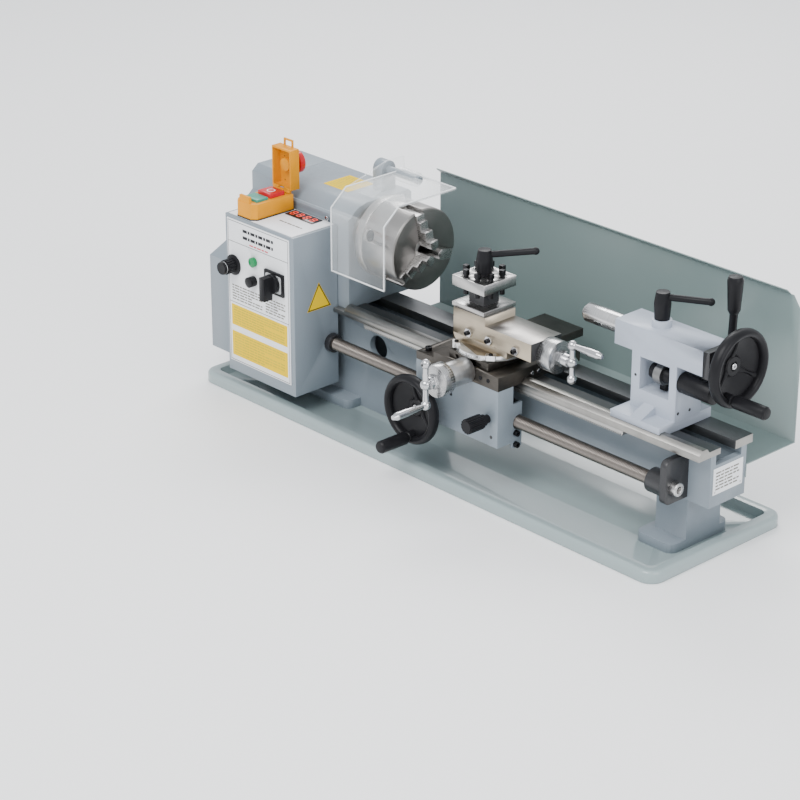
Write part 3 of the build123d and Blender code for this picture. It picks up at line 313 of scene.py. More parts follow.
def make_materials():
    M["cast"] = cast_paint("cast_grey", GREY)
    M["sheet"] = paint("sheet_grey", GREY, 0.38)
    M["tray"] = paint("tray_grey", (0.27, 0.335, 0.34), 0.24, 0.00003, 0.35)
    M["splash"] = paint("splash_grey", (0.165, 0.22, 0.215), 0.3, 0.00003)
    M["light"] = cast_paint("light_grey", (0.37, 0.41, 0.48), 0.4)
    M["way"] = ground_steel("ground_ways", (0.36, 0.35, 0.33), "x", 0.3, 0.25)
    # painted reflection: the flats get a dark copy of the way steel for the dark surroundings they mirror;
    # their oil stains are real
    M["flat"] = ground_steel("flats_oiled_and_painted_reflection", (0.15, 0.155, 0.16), "x", 0.4, 0.2)
    # painted highlight: the rack steel is lighter than the way steel so that the teeth read as lit
    M["rack"] = ground_steel("rack_steel_painted_highlight", (0.45, 0.44, 0.42), "x", 0.35, 0.1)
    M["brown"] = ground_steel("oiled_casting", (0.115, 0.105, 0.094), "x", 0.38, 0.35)
    M["beige"] = ground_steel("ground_slide", (0.50, 0.43, 0.33), "x", 0.32, 0.2)
    M["slide_top"] = ground_steel("ground_slide_top", (0.40, 0.38, 0.36), "x", 0.3, 0.2)
    M["post"] = ground_steel("ground_post", (0.5, 0.49, 0.48), "x", 0.26, 0.2)
    M["gear"] = ground_steel("gear_steel", (0.25, 0.25, 0.25), "x", 0.4, 0.3)
    M["chuck"] = turned_steel("turned_chuck", (0.36, 0.35, 0.34), (0, CENTRE_Z), rough=0.3)
    # painted shade: the front face of the chuck is a darker copy of the chuck steel
    M["chuck_face"] = turned_steel("turned_chuck_face_painted_shade", (0.26, 0.25, 0.24), (0, CENTRE_Z), rough=0.34)
    M["jaw"] = ground_steel("ground_jaw", (0.5, 0.49, 0.48), "x", 0.25, 0.3)
    M["shaft"] = turned_steel("turned_shaft", (0.23, 0.205, 0.185), (-50, 84), rough=0.32)
    M["shaft_end"] = turned_steel("turned_shaft_end", (0.62, 0.61, 0.6), (-50, 84), rough=0.25)
    M["quill"] = turned_steel("turned_quill", (0.6, 0.6, 0.6), (0, CENTRE_Z), rough=0.2)
    M["bracket"] = turned_steel("turned_bracket", (0.42, 0.42, 0.42), (61, 142), "y", 0.34)
    M["cross_dial"] = graduated("cross_dial", (0.45, 0.45, 0.45), (61, 142), "y", (-124, -118), 40)
    M["top_dial"] = graduated("top_dial", (0.45, 0.45, 0.45), (-42, 177), "x", (147, 153), 40)
    M["chrome"] = ground_steel("polished_chrome", (0.55, 0.55, 0.56), "z", 0.14, 0.05)
    M["ring"] = ground_steel("satin_ring", (0.86, 0.86, 0.85), "z", 0.3, 0.05)
    M["black"] = plastic("black_moulding", (0.009, 0.009, 0.0105), 0.36)
    # black enamel; the same material also serves as painted shade in the black discs inside holes and slots
    M["black_paint_and_hole_shade"] = paint("black_enamel_and_hole_shade", (0.014, 0.014, 0.016), 0.42)
    M["oxide"] = ground_steel("black_oxide", (0.03, 0.03, 0.032), "z", 0.35, 0.2)
    M["white"] = paint("white_print", (0.80, 0.81, 0.83), 0.45, 0.00002, 0.0)
    M["plate"] = paint("switch_plate", (0.42, 0.43, 0.44), 0.4, 0.00002)
    M["yellow"] = paint("yellow_print", (0.76, 0.51, 0.0), 0.6, 0.00002, 0.0, gloss=0.05)
    M["ink"] = plastic("black_ink", (0.015, 0.015, 0.018), 0.5)
    M["grey_ink"] = plastic("grey_ink", (0.16, 0.15, 0.13), 0.5)
    M["dull_ink"] = plastic("olive_ink", (0.50, 0.38, 0.02), 0.5)
    M["red_ink"] = plastic("red_ink", (0.55, 0.03, 0.05), 0.5)
    M["orange"] = plastic("orange_moulding", (0.66, 0.26, 0.0), 0.42)
    M["red"] = plastic("red_moulding", (0.50, 0.012, 0.018), 0.28, coat=0.3)
    M["green"] = plastic("green_moulding", (0.045, 0.25, 0.18), 0.35, coat=0.2)
    M["lamp"] = plastic("green_lens", (0.0, 0.2, 0.06), 0.22, coat=0.3)
    M["screen"] = plastic("display_window", (0.02, 0.008, 0.008), 0.12, coat=0.4)
    M["rubber"] = plastic("belt_rubber", (0.02, 0.02, 0.02), 0.7, 0.0002, 400)
    M["clear"] = clear_sheet("clear_acrylic")
    M["edge"] = clear_edge("clear_edges")
    M["motor"] = paint("motor_enamel", (0.04, 0.04, 0.045), 0.5)
    s = Shade("display_digits", roughness=0.4, Emission_Color=(1.0, 0.05, 0.02, 1), Emission_Strength=1.2)
    s.base(s.colours(s.noise(scale=200), (0.3, (0.7, 0.03, 0.02)), (0.7, (0.85, 0.06, 0.03))))
    M["digit"] = s.material


# ------------------------------------------------------------------ mesh helpers
def finish_mesh(name, bm, material, body, smooth=35.0, bevel=0.0):
    mesh = bpy.data.meshes.new(name)
    bmesh.ops.recalc_face_normals(bm, faces=bm.faces)
    bm.to_mesh(mesh)
    bm.free()
    obj = bpy.data.objects.new(name, mesh)
    SCENE.collection.objects.link(obj)
    mesh.materials.append(material)
    if smooth:
        mesh.shade_smooth()
        mesh.set_sharp_from_angle(angle=math.radians(smooth))
    if bevel:
        add_bevel(obj, bevel)
    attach(obj, body)
    return obj


def add_bevel(obj, width, segments=2, angle=35.0):
    modifier = obj.modifiers.new("edge", "BEVEL")
    modifier.width = width * MM
    modifier.segments = segments
    modifier.limit_method = "ANGLE"
    modifier.angle_limit = math.radians(angle)
    modifier.harden_normals = True
    return modifier


def basis(origin, axis, side=None):
    """Matrix whose local Z is axis; local X is as near to side as it can be."""
    z = Vector(axis).normalized()
    side = Vector(side) if side else (Vector((0, 0, 1)) if abs(z.z) < 0.9 else Vector((1, 0, 0)))
    x = (side - z * side.dot(z)).normalized()
    y = z.cross(x)
    matrix = Matrix((x, y, z)).transposed().to_4x4()
    matrix.translation = Vector(origin) * MM
    return matrix


def add_lathe(bm, profile, matrix, segments=64, closed=True):
    """Turns a closed profile of (radius, height) in mm about local Z."""
    rings = []
    for step in range(segments):
        angle = 2 * math.pi * step / segments
        ring = []
        for r, h in profile:
            point = Vector((r * math.cos(angle), r * math.sin(angle), h)) * MM
            ring.append(bm.verts.new(matrix @ point))
        rings.append(ring)
    count = len(profile)
    for step in range(segments):
        here, there = rings[step], rings[(step + 1) % segments]
        for i in range(count if closed else count - 1):
            j = (i + 1) % count
            bm.faces.new((here[i], there[i], there[j], here[j]))
    bmesh.ops.remove_doubles(bm, verts=bm.verts, dist=1e-7)


def add_prism(bm, points, matrix, low, high):
    """Extends a closed outline in local X and Y (mm) from low to high along local Z."""
    bottom = [bm.verts.new(matrix @ (Vector((x, y, low)) * MM)) for x, y in points]
    top = [bm.verts.new(matrix @ (Vector((x, y, high)) * MM)) for x, y in points]
    bm.faces.new(bottom[::-1])
    bm.faces.new(top)
    count = len(points)
    for i in range(count):
        j = (i + 1) % count
        bm.faces.new((bottom[i], bottom[j], top[j], top[i]))


def add_card(bm, matrix, u, v, thick, low=0.0):
    """Thin rectangle lying on the local XY plane."""
    add_prism(bm, [(u[0], v[0]), (u[1], v[0]), (u[1], v[1]), (u[0], v[1])], matrix, low, low + thick)


def hexagon(r, turn=0.0):
    angles = [math.radians(60 * k + turn) for k in range(6)]
    return [(r * math.cos(a), r * math.sin(a)) for a in angles]


# ------------------------------------------------------------------ carried-over nodes
CARRIED = {
    "chip_tray": ("tray", 0.5), "splash_guard": ("splash", 0.4), "feed_rack": ("rack", 0.1),
    "headstock": ("cast", 1.6), "gear_cover": ("sheet", 1.2), "control_box": ("sheet", 1.2),
    "control_panel": ("white", 0.2), "switch_box": ("orange", 1.0), "spindle_bearings": ("way", 0.5),
    "drive_motor": ("motor", 1.0), "drive_belt": ("rubber", 0.2), "leadscrew_brackets": ("black_paint_and_hole_shade", 0.8),
    "fixed_screws": ("chrome", 0.3), "guard_bracket": ("sheet", 0.8), "gear_quadrant": ("gear", 0.5),
    "spindle": ("chuck", 0.6), "spindle_wheels": ("gear", 0.1), "chuck_body": ("chuck", 0.7),
    "chuck_scroll": ("gear", 0.3), "chuck_jaw_1": ("jaw", 0.4), "chuck_jaw_2": ("jaw", 0.4),
    "chuck_jaw_3": ("jaw", 0.4), "chuck_pinion": ("oxide", 0.4), "motor_pulley": ("gear", 0.3),
    "idler_gear": ("gear", 0.1), "saddle": ("brown", 0.6), "apron": ("cast", 0.8),
    "cross_feed_bracket": ("bracket", 0.5), "carriage_screws": ("oxide", 0.3),
    "carriage_grip": ("black", 0.4),
    "rack_pinion": ("gear", 0.1), "half_nut_lever": ("black", 0.8), "half_nut_upper": ("gear", 0.3),
    "half_nut_lower": ("gear", 0.3), "cross_feed_crank": ("chrome", 0.3), "cross_slide": ("brown", 0.6),
    "compound_base": ("beige", 0.5), "compound_slide": ("beige", 0.6), "compound_crank": ("chrome", 0.3),
    "tool_post": ("post", 0.5), "tool_post_screws": ("oxide", 0.3), "tool_post_lever": ("black", 0.5),
    "tailstock_body": ("light", 1.0), "quill": ("quill", 0.4), "tailstock_grip": ("black", 0.4),
    "quill_lock_lever": ("black", 0.5), "cam_lever": ("black", 0.5), "tailstock_clamp": ("gear", 0.5),
    "chuck_guard": ("clear", 0.4), "switch_lid": ("orange", 0.7), "emergency_button": ("red", 0.8),
    "start_button": ("green", 0.8), "stop_button": ("red", 0.8), "speed_knob": ("black", 0.5),
    "direction_knob": ("black", 0.8), "bed": ("cast", 0.9), "panel_fittings": ("black", 0.4),
    "carriage_handwheel": ("black", 0.8), "tailstock_handwheel": ("black", 0.8), "leadscrew": ("shaft", 0.3),
}


def dress(node):
    material, bevel = CARRIED[node]
    obj = NODES[node]
    obj.data.materials.clear()
    obj.data.materials.append(M[material])
    for polygon in obj.data.polygons:
        polygon.material_index = 0
    weld = obj.modifiers.new("weld", "WELD")
    weld.merge_threshold = 1e-6
    add_bevel(obj, bevel)
    obj.data.shade_smooth()


def paint_faces(node, material, test):
    """Gives the faces whose centre (mm) and normal pass the test another material."""
    obj = NODES[node]
    obj.data.materials.append(M[material])
    index = len(obj.data.materials) - 1
    for polygon in obj.data.polygons:
        if test(polygon.center / MM, polygon.normal):
            polygon.material_index = index


def paint_regions():
    paint_faces("bed", "way", lambda c, n: c.z > 122.9)
    paint_faces("bed", "way", lambda c, n: c.z > 119.9 and c.y > 12)
    # painted reflection and shade: the tops of the flats and the sides of the gap between the ways take the
    # dark flat steel
    paint_faces("bed", "flat", lambda c, n: 129.5 < c.z < 130.5 and n.z > 0.9)
    paint_faces("bed", "flat", lambda c, n: c.z > 119.9 and abs(c.y) < 13 and abs(n.y) > 0.9)
    # painted shade: the front face of the chuck takes the darker copy of its steel
    paint_faces("chuck_body", "chuck_face", lambda c, n: c.x > -97.6)
    paint_faces("tool_post", "black_paint_and_hole_shade", lambda c, n: 208.6 < c.z < 228.1 and abs(n.z) < 0.5
                and max(abs(c.x - 46), abs(c.y + 42)) < 12.6)
    paint_faces("compound_slide", "slide_top", lambda c, n: n.z > 0.9)
    paint_faces("cross_feed_crank", "cross_dial", lambda c, n: -133.2 < c.y < -118.2
                and math.hypot(c.x - 61, c.z - 142) > 6)
    paint_faces("compound_crank", "top_dial", lambda c, n: 147.2 < c.x < 166.2
                and math.hypot(c.y + 42, c.z - 177) > 6)
    paint_faces("compound_base", "ring", lambda c, n: c.z < 163.1 and math.hypot(c.x - 61, c.y + 42) > 30)
    paint_faces("tailstock_body", "black_paint_and_hole_shade", lambda c, n: c.x > 351.05)
    paint_faces("compound_slide", "black_paint_and_hole_shade", lambda c, n: c.x > 141)
    paint_faces("panel_fittings", "lamp", lambda c, n: c.y < -108
                and math.hypot(c.x + 276, c.z - 182.5) < 6.3)
    paint_faces("panel_fittings", "screen", lambda c, n: c.z > 231.9)


# ------------------------------------------------------------------ new pieces
def new_piece(name, material, body, make, bevel=0.0, smooth=35.0):
    bm = bmesh.new()
    make(bm)
    return finish_mesh(name, bm, M[material], body, smooth, bevel)


def spoke(bm, matrix, angle, inner, outer, low, wide):
    """Cast rib: a curved arm that widens at both ends."""
    steps = 10
    loops = []
    for k in range(steps + 1):
        t = k / steps
        r = inner + (outer - inner) * t
        half = wide * (0.62 + 0.75 * (2 * t - 1) ** 2)
        z = low[0] + (low[1] - low[0]) * t
        loop = []
        for m in range(10):
            a = 2 * math.pi * m / 10
            x, y = r, half * math.cos(a)
            h = z + 2.6 * math.sin(a)
            ca, sa = math.cos(angle), math.sin(angle)
            loop.append(bm.verts.new(matrix @ (Vector((x * ca - y * sa, x * sa + y * ca, h)) * MM)))
        loops.append(loop)
    for a, b in zip(loops, loops[1:]):
        for m in range(10):
            n = (m + 1) % 10
            bm.faces.new((a[m], a[n], b[n], b[m]))
    bm.faces.new(loops[0][::-1])
    bm.faces.new(loops[-1])


def handwheel(bm, matrix, radius, hub, shaft):
    """Closed dished wheel: round rim, cone, hub and three ribs, with its shaft behind."""
    rim = []
    for k in range(20):
        a = 2 * math.pi * k / 20
        rim.append((radius - 5.0 + 5.0 * math.cos(a), 1.5 + 7.0 * math.sin(a)))
    add_lathe(bm, rim, matrix, 96)
    dish = [(hub - 2, -13.5), (radius - 8, -3.8), (radius - 6, -2.0), (radius - 6, 0.8), (radius - 9, 0.6),
            (hub + 1.5, -7.4), (hub - 2, -8)]
    add_lathe(bm, dish, matrix, 96)
    boss = [(0, -14), (hub - 1.5, -14), (hub, -12.5), (hub, -6.5), (hub - 1.5, -5),
            (5.5, -5), (5, -6.5), (0, -6.5)]
    add_lathe(bm, boss, matrix, 48)
    add_lathe(bm, [(0, shaft), (6, shaft), (6, -12), (0, -12)], matrix, 32)
    for angle in (90, 210, 330):
        spoke(bm, matrix, math.radians(angle), hub - 2, radius - 7, (-8.0, 0.4), 3.4)


def wheel_screw(bm, matrix):
    """Socket screw in the middle of a wheel."""
    head = [(0, -6.5), (3.6, -6.5), (3.6, -4.2), (3.1, -3.8), (1.6, -3.8), (1.6, -5.5), (0, -5.5)]
    add_lathe(bm, head, matrix, 24)


def ribbed(bm, matrix, radius, low, high, ribs, depth):
    """Round grip with ribs along it."""
    outline = []
    for k in range(ribs):
        for part, r in ((-0.3, radius), (0.12, radius), (0.3, radius - depth), (0.5, radius - depth)):
            a = 2 * math.pi * (k + part) / ribs
            outline.append((r * math.cos(a), r * math.sin(a)))
    add_prism(bm, outline, matrix, low, high)


def gear(bm, matrix, teeth, low, high, bore):
    """Spur gear of module 1 with trapezoid teeth; local X points to a tooth."""
    r = teeth / 2
    outline = []
    step = 2 * math.pi / teeth
    for k in range(teeth):
        for part, radius in ((-0.31, r - 1.25), (-0.13, r + 0.95), (0.13, r + 0.95), (0.31, r - 1.25)):
            a = step * (k + part)
            outline.append((radius * math.cos(a), radius * math.sin(a)))
    lower = [bm.verts.new(matrix @ (Vector((x, y, low)) * MM)) for x, y in outline]
    upper = [bm.verts.new(matrix @ (Vector((x, y, high)) * MM)) for x, y in outline]
    inner_low, inner_high = [], []
    for k in range(len(outline)):
        a = math.atan2(outline[k][1], outline[k][0])
        point = (bore * math.cos(a), bore * math.sin(a))
        inner_low.append(bm.verts.new(matrix @ (Vector((*point, low)) * MM)))
        inner_high.append(bm.verts.new(matrix @ (Vector((*point, high)) * MM)))
    n = len(outline)
    for k in range(n):
        m = (k + 1) % n
        bm.faces.new((lower[k], lower[m], upper[m], upper[k]))
        bm.faces.new((inner_low[m], inner_low[k], inner_high[k], inner_high[m]))
        bm.faces.new((lower[m], lower[k], inner_low[k], inner_low[m]))
        bm.faces.new((upper[k], upper[m], inner_high[m], inner_high[k]))


def leadscrew(bm):
    """Shaft with a real thread between its bearings and a plain part at each end."""
    x0, x1, pitch, sides = -196.0, 310.0, 2.0, 20
    rows = int((x1 - x0) / 0.5)
    grid = []
    for i in range(rows + 1):
        x = x0 + (x1 - x0) * i / rows
        ring = []
        for k in range(sides):
            a = 2 * math.pi * k / sides
            phase = (x / pitch - k / sides) % 1.0
            deep = 0.55 * max(0.0, min(1.0, 2.2 * (1 - abs(2 * phase - 1)) - 0.8))
            r = 8.0 - deep
            ring.append(bm.verts.new(Vector((x, -50 + r * math.cos(a), 84 + r * math.sin(a))) * MM))
        grid.append(ring)
    for a, b in zip(grid, grid[1:]):
        for k in range(sides):
            n = (k + 1) % sides
            bm.faces.new((a[k], a[n], b[n], b[k]))
    bm.faces.new(grid[0][::-1])
    bm.faces.new(grid[-1])
    along = basis((0, -50, 84), (1, 0, 0))
    add_lathe(bm, [(0, -376), (6, -376), (6, -352), (8, -352), (8, -196), (0, -196)], along, 40)
    add_lathe(bm, [(0, 310), (8, 310), (8, 340), (0, 340)], along, 40)


def leadscrew_end(bm):
    end = [(0, 340), (7.9, 340), (7.9, 351), (7, 352), (4.4, 352), (4, 351.4), (4, 341), (0, 341)]
    add_lathe(bm, end, basis((0, -50, 84), (1, 0, 0)), 40)


def leadscrew_gear(bm):
    gear(bm, basis((-374, -50, 84), (1, 0, 0)), 70, 0, 8, 6.2)


PANEL = basis((0, -109.2, 0), (0, -1, 0), (1, 0, 0))     # local X is +X, local Y is +Z on the front panel


def rows_of_bars(bm, matrix, u, v, rows, thick, seed):
    """Rows of short thin bars that stand for print."""
    pitch = (v[1] - v[0]) / rows
    for row in range(rows):
        y = v[1] - pitch * (row + 0.5)
        x = u[0]
        k = 0
        while x < u[1] - 2:
            length = 3.0 + 5.5 * (0.5 + 0.5 * math.sin(seed + 7.3 * row + 3.1 * k))
            end = min(x + length, u[1])
            if not (row % 4 == 3 and x > u[0] + 0.6 * (u[1] - u[0])):
                add_card(bm, matrix, (x, end), (y - pitch * 0.22, y + pitch * 0.22), thick)
            x = end + 1.4
            k += 1


def panel_print():
    def frame_lines(bm):
        for lo, hi in (((-323.5, -213.5), (224.6, 225.2)), ((-323.5, -213.5), (198.2, 198.8)),
                       ((-323.5, -213.5), (119.8, 120.4)), ((-323.5, -213.5), (43.4, 44.0)),
                       ((-323.5, -322.9), (43.4, 225.2)), ((-214.1, -213.5), (43.4, 225.2))):
            add_card(bm, PANEL, lo, hi, 0.12)
    new_piece("panel_lines", "ink", "frame", frame_lines, smooth=0)

    def blocks(bm):
        add_card(bm, PANEL, (-320, -217), (90, 117), 0.12)
        add_card(bm, PANEL, (-320, -217), (50, 82), 0.12)
    new_piece("panel_blocks", "yellow", "frame", blocks, smooth=0)

    def heading(bm):
        rows_of_bars(bm, PANEL, (-296, -240), (204, 221), 2, 0.12, 1.0)
    new_piece("panel_heading", "ink", "frame", heading, smooth=0)

    def small_print(bm):
        matrix = PANEL @ Matrix.Translation((0, 0, 0.12 * MM))
        rows_of_bars(bm, matrix, (-316, -222), (92, 115), 7, 0.08, 2.0)
        rows_of_bars(bm, matrix, (-316, -222), (52, 80), 8, 0.08, 3.0)
    new_piece("panel_small_print", "dull_ink", "frame", small_print, smooth=0)

    def red_row(bm):
        rows_of_bars(bm, PANEL, (-284, -250), (199.8, 203.4), 1, 0.12, 9.0)
    new_piece("panel_red_row", "red_ink", "frame", red_row, smooth=0)

    def top_row(bm):
        rows_of_bars(bm, basis((0, 0, 232.05), (0, 0, 1), (1, 0, 0)), (-262, -222), (-82, -77), 1, 0.12, 2.5)
    new_piece("top_panel_row", "grey_ink", "frame", top_row, smooth=0)

    def table(bm):
        rows_of_bars(bm, PANEL, (-318, -262), (123, 144), 6, 0.12, 4.0)
        rows_of_bars(bm, PANEL, (-256, -220), (123, 144), 6, 0.12, 5.0)
    new_piece("panel_table", "grey_ink", "frame", table, smooth=0)

    def sticker(bm):
        add_card(bm, basis((0, 0, 257.05), (0, 0, 1), (1, 0, 0)), (-272, -228), (-1, 42), 0.12)
    new_piece("headstock_sticker", "yellow", "frame", sticker, smooth=0)

    def sticker_print(bm):
        rows_of_bars(bm, basis((0, 0, 257.17), (0, 0, 1), (1, 0, 0)), (-269, -231), (2, 39), 9, 0.08, 6.0)
    new_piece("headstock_sticker_print", "dull_ink", "frame", sticker_print, smooth=0)

    side = basis((-205, 0, 0), (1, 0, 0), (0, 1, 0))      # local X is +Y, local Y is +Z

    def triangle(bm):
        add_prism(bm, [(-88, 132), (-50, 132), (-69, 166)], side, 0.02, 0.14)
    new_piece("side_triangle", "yellow", "frame", triangle, smooth=0)

    def triangle_edge(bm):
        corners = [Vector((-88, 132)), Vector((-50, 132)), Vector((-69, 166))]
        middle = sum(corners, Vector((0, 0))) / 3
        for k in range(3):
            a, b = corners[k], corners[(k + 1) % 3]
            add_prism(bm, [a.lerp(middle, 0.05), b.lerp(middle, 0.05),
                           b.lerp(middle, 0.16), a.lerp(middle, 0.16)],
                      side, 0.14, 0.22)
    new_piece("side_triangle_edge", "ink", "frame", triangle_edge, smooth=0)

    end = basis((374.5, 0, 0), (1, 0, 0), (0, 1, 0))

    def end_label(bm):
        add_card(bm, end, (-22, 26), (76, 107), 0.25)
    new_piece("bed_end_label", "white", "frame", end_label, smooth=0)

    def end_print(bm):
        rows_of_bars(bm, end @ Matrix.Translation((0, 0, 0.25 * MM)), (-18, 20), (80, 103), 6, 0.08, 8.0)
    new_piece("bed_end_print", "grey_ink", "frame", end_print, smooth=0)


SEGMENTS = {"a": ((-2.6, 2.6), (5.6, 6.8)), "d": ((-2.6, 2.6), (-6.8, -5.6)), "g": ((-2.6, 2.6), (-0.6, 0.6)),
            "b": ((2.8, 4.0), (0.7, 6.2)), "c": ((2.8, 4.0), (-6.2, -0.7)),
            "f": ((-4.0, -2.8), (0.7, 6.2)), "e": ((-4.0, -2.8), (-6.2, -0.7))}


DIGIT_SCALE = 0.78


def display():
    def digits(bm):
        matrix = basis((-249.5, -52.5, 233.2), (0, 0, 1), (1, 0, 0))
        for k in range(4):
            for u, v in SEGMENTS.values():
                shift = -17.4 + 11.6 * k
                across = (u[0] * DIGIT_SCALE + shift, u[1] * DIGIT_SCALE + shift)
                upward = (v[0] * DIGIT_SCALE, v[1] * DIGIT_SCALE)
                add_card(bm, matrix, across, upward, 0.1, 0.02)
    new_piece("display_digits", "digit", "frame", digits, smooth=0)


def scale_ring():
    """Graduations of the swivel, on the flank of the ring."""
    def ticks(bm):
        for k in range(-45, 46, 2):
            angle = math.radians(-90 + k)
            long_tick = k % 10 in (5, 1)
            matrix = basis((61 + 42 * math.cos(angle), -42 + 42 * math.sin(angle), 160.2),
                           (math.cos(angle), math.sin(angle), 0))
            add_card(bm, matrix, (-2.6, 0.8 if long_tick else -0.6), (-0.16, 0.16), 0.08)
    new_piece("swivel_ticks", "ink", "swivel", ticks, smooth=0)


def dial_number(name, text, matrix, size, body):
    curve = bpy.data.curves.new(name, "FONT")
    curve.body = text
    curve.size = size * MM
    curve.align_x = "CENTER"
    curve.align_y = "CENTER"
    curve.extrude = 0.05 * MM
    obj = bpy.data.objects.new(name, curve)
    SCENE.collection.objects.link(obj)
    obj.matrix_world = matrix
    curve.materials.append(M["ink"])
    bpy.context.view_layer.update()
    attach(obj, body)
    return obj


def numbers():
    for k, text in enumerate(("40", "20", "0", "20", "40")):
        angle = math.radians(-90 + (k - 2) * 20)
        matrix = basis((61 + 42.05 * math.cos(angle), -42 + 42.05 * math.sin(angle), 161.3),
                       (math.cos(angle), math.sin(angle), 0), (-math.sin(angle), math.cos(angle), 0))
        dial_number(f"swivel_number_{k}", text, matrix, 3.2, "swivel")


def gib_screws():
    """Adjusting screws with lock nuts along the front of the compound slide."""
    def nuts(bm):
        for x in (51, 83, 124):
            matrix = basis((x, -69, 180), (0, -1, 0))
            add_prism(bm, hexagon(5.6, 30), matrix, 0, 3.4)
    new_piece("compound_gib_nuts", "chrome", "top_slide", nuts, 0.25)

    def screws(bm):
        for x in (51, 83, 124):
            matrix = basis((x, -69, 180), (0, -1, 0))
            head = [(0, 0), (2.8, 0), (2.8, 6.5), (2.4, 7), (1.4, 7), (1.4, 5.5), (0, 5.5)]
            add_lathe(bm, head, matrix, 24)
    new_piece("compound_gib_screws", "oxide", "top_slide", screws)


def handwheels():
    wheel = basis((-2, -107, 80), (0, -1, 0), (1, 0, 0))
    piece = new_piece("carriage_wheel", "black", "handwheel", lambda bm: handwheel(bm, wheel, 42, 11, -32.7))
    tail = basis((381, 0, CENTRE_Z), (1, 0, 0), (0, 1, 0))
    other = new_piece("tailstock_wheel", "black", "tail_wheel", lambda bm: handwheel(bm, tail, 44, 12, -34))

    new_piece("carriage_wheel_screw", "chrome", "handwheel", lambda bm: wheel_screw(bm, wheel))
    new_piece("tailstock_wheel_screw", "chrome", "tail_wheel", lambda bm: wheel_screw(bm, tail))

    def boss(bm):
        add_lathe(bm, [(0, -2), (6.2, -2), (6.2, 8.2), (5.4, 9.2), (0, 9.2)],
                  basis((-2, -107, 47), (0, -1, 0)), 32)
    first = new_piece("carriage_wheel_boss", "black", "handwheel", boss)

    def tail_boss(bm):
        add_lathe(bm, [(0, -2), (6.2, -2), (6.2, 9.2), (5.4, 10.2), (0, 10.2)],
                  basis((381, -16, CENTRE_Z - 30), (1, 0, 0)), 32)
    second = new_piece("tailstock_wheel_boss", "black", "tail_wheel", tail_boss)

    def pinion(bm):
        gear(bm, basis((-2, -65, 80), (0, -1, 0), (0, 0, 1)), 28, 0, 9.3, 6.1)
    third = new_piece("handwheel_pinion", "gear", "handwheel", pinion, smooth=0)

    def screw(bm):
        add_lathe(bm, [(0, 232), (4, 232), (4, 347), (7, 347), (7, 368), (0, 368)],
                  basis((0, 0, CENTRE_Z), (1, 0, 0)), 32)
    fourth = new_piece("tailstock_screw", "quill", "tail_wheel", screw)
    for part in (piece, first, third):
        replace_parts(part, "carriage_handwheel")
    for part in (other, second, fourth):
        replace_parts(part, "tailstock_handwheel")


def threads():
    shaft = new_piece("leadscrew_thread", "shaft", "lead_screw", leadscrew)
    wheel = new_piece("leadscrew_gear", "gear", "lead_screw", leadscrew_gear, smooth=0)
    end = new_piece("leadscrew_end", "shaft_end", "lead_screw", leadscrew_end)
    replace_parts(shaft, "leadscrew")
    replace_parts(end, "leadscrew")
    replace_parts(wheel, "leadscrew")


def chuck_details():
    """A ring turned in the front face."""
    def rings(bm):
        along = basis((0, 0, CENTRE_Z), (1, 0, 0))
        add_lathe(bm, [(14.5, -96.3), (14.5, -95.7), (13.0, -95.3), (10.5, -95.3), (10.5, -96.3)], along, 96)
    new_piece("chuck_face_ring", "chuck", "spindle_set", rings)


def guard_edges():
    """Polished edges of the clear guard, which catch the light."""
    def rods(bm):
        def rod(a, b, r=0.9):
            a, b = Vector(a), Vector(b)
            add_lathe(bm, [(0, 0), (r, 0), (r, (b - a).length), (0, (b - a).length)], basis(a, b - a), 8)
        x0, x1 = -183.4, -92.6
        for x in (x0, x1):
            rod((x, -67.2, 187), (x, -67.2, 265.6))
            rod((x, -67.2, 265.6), (x, -43.6, 285.6))
            rod((x, -43.6, 285.6), (x, 46, 285.6))
        rod((x0, -67.2, 187), (x1, -67.2, 187))
        rod((x0, 47, 285.6), (x1, 47, 285.6))
    new_piece("guard_edges", "edge", "guard", rods)


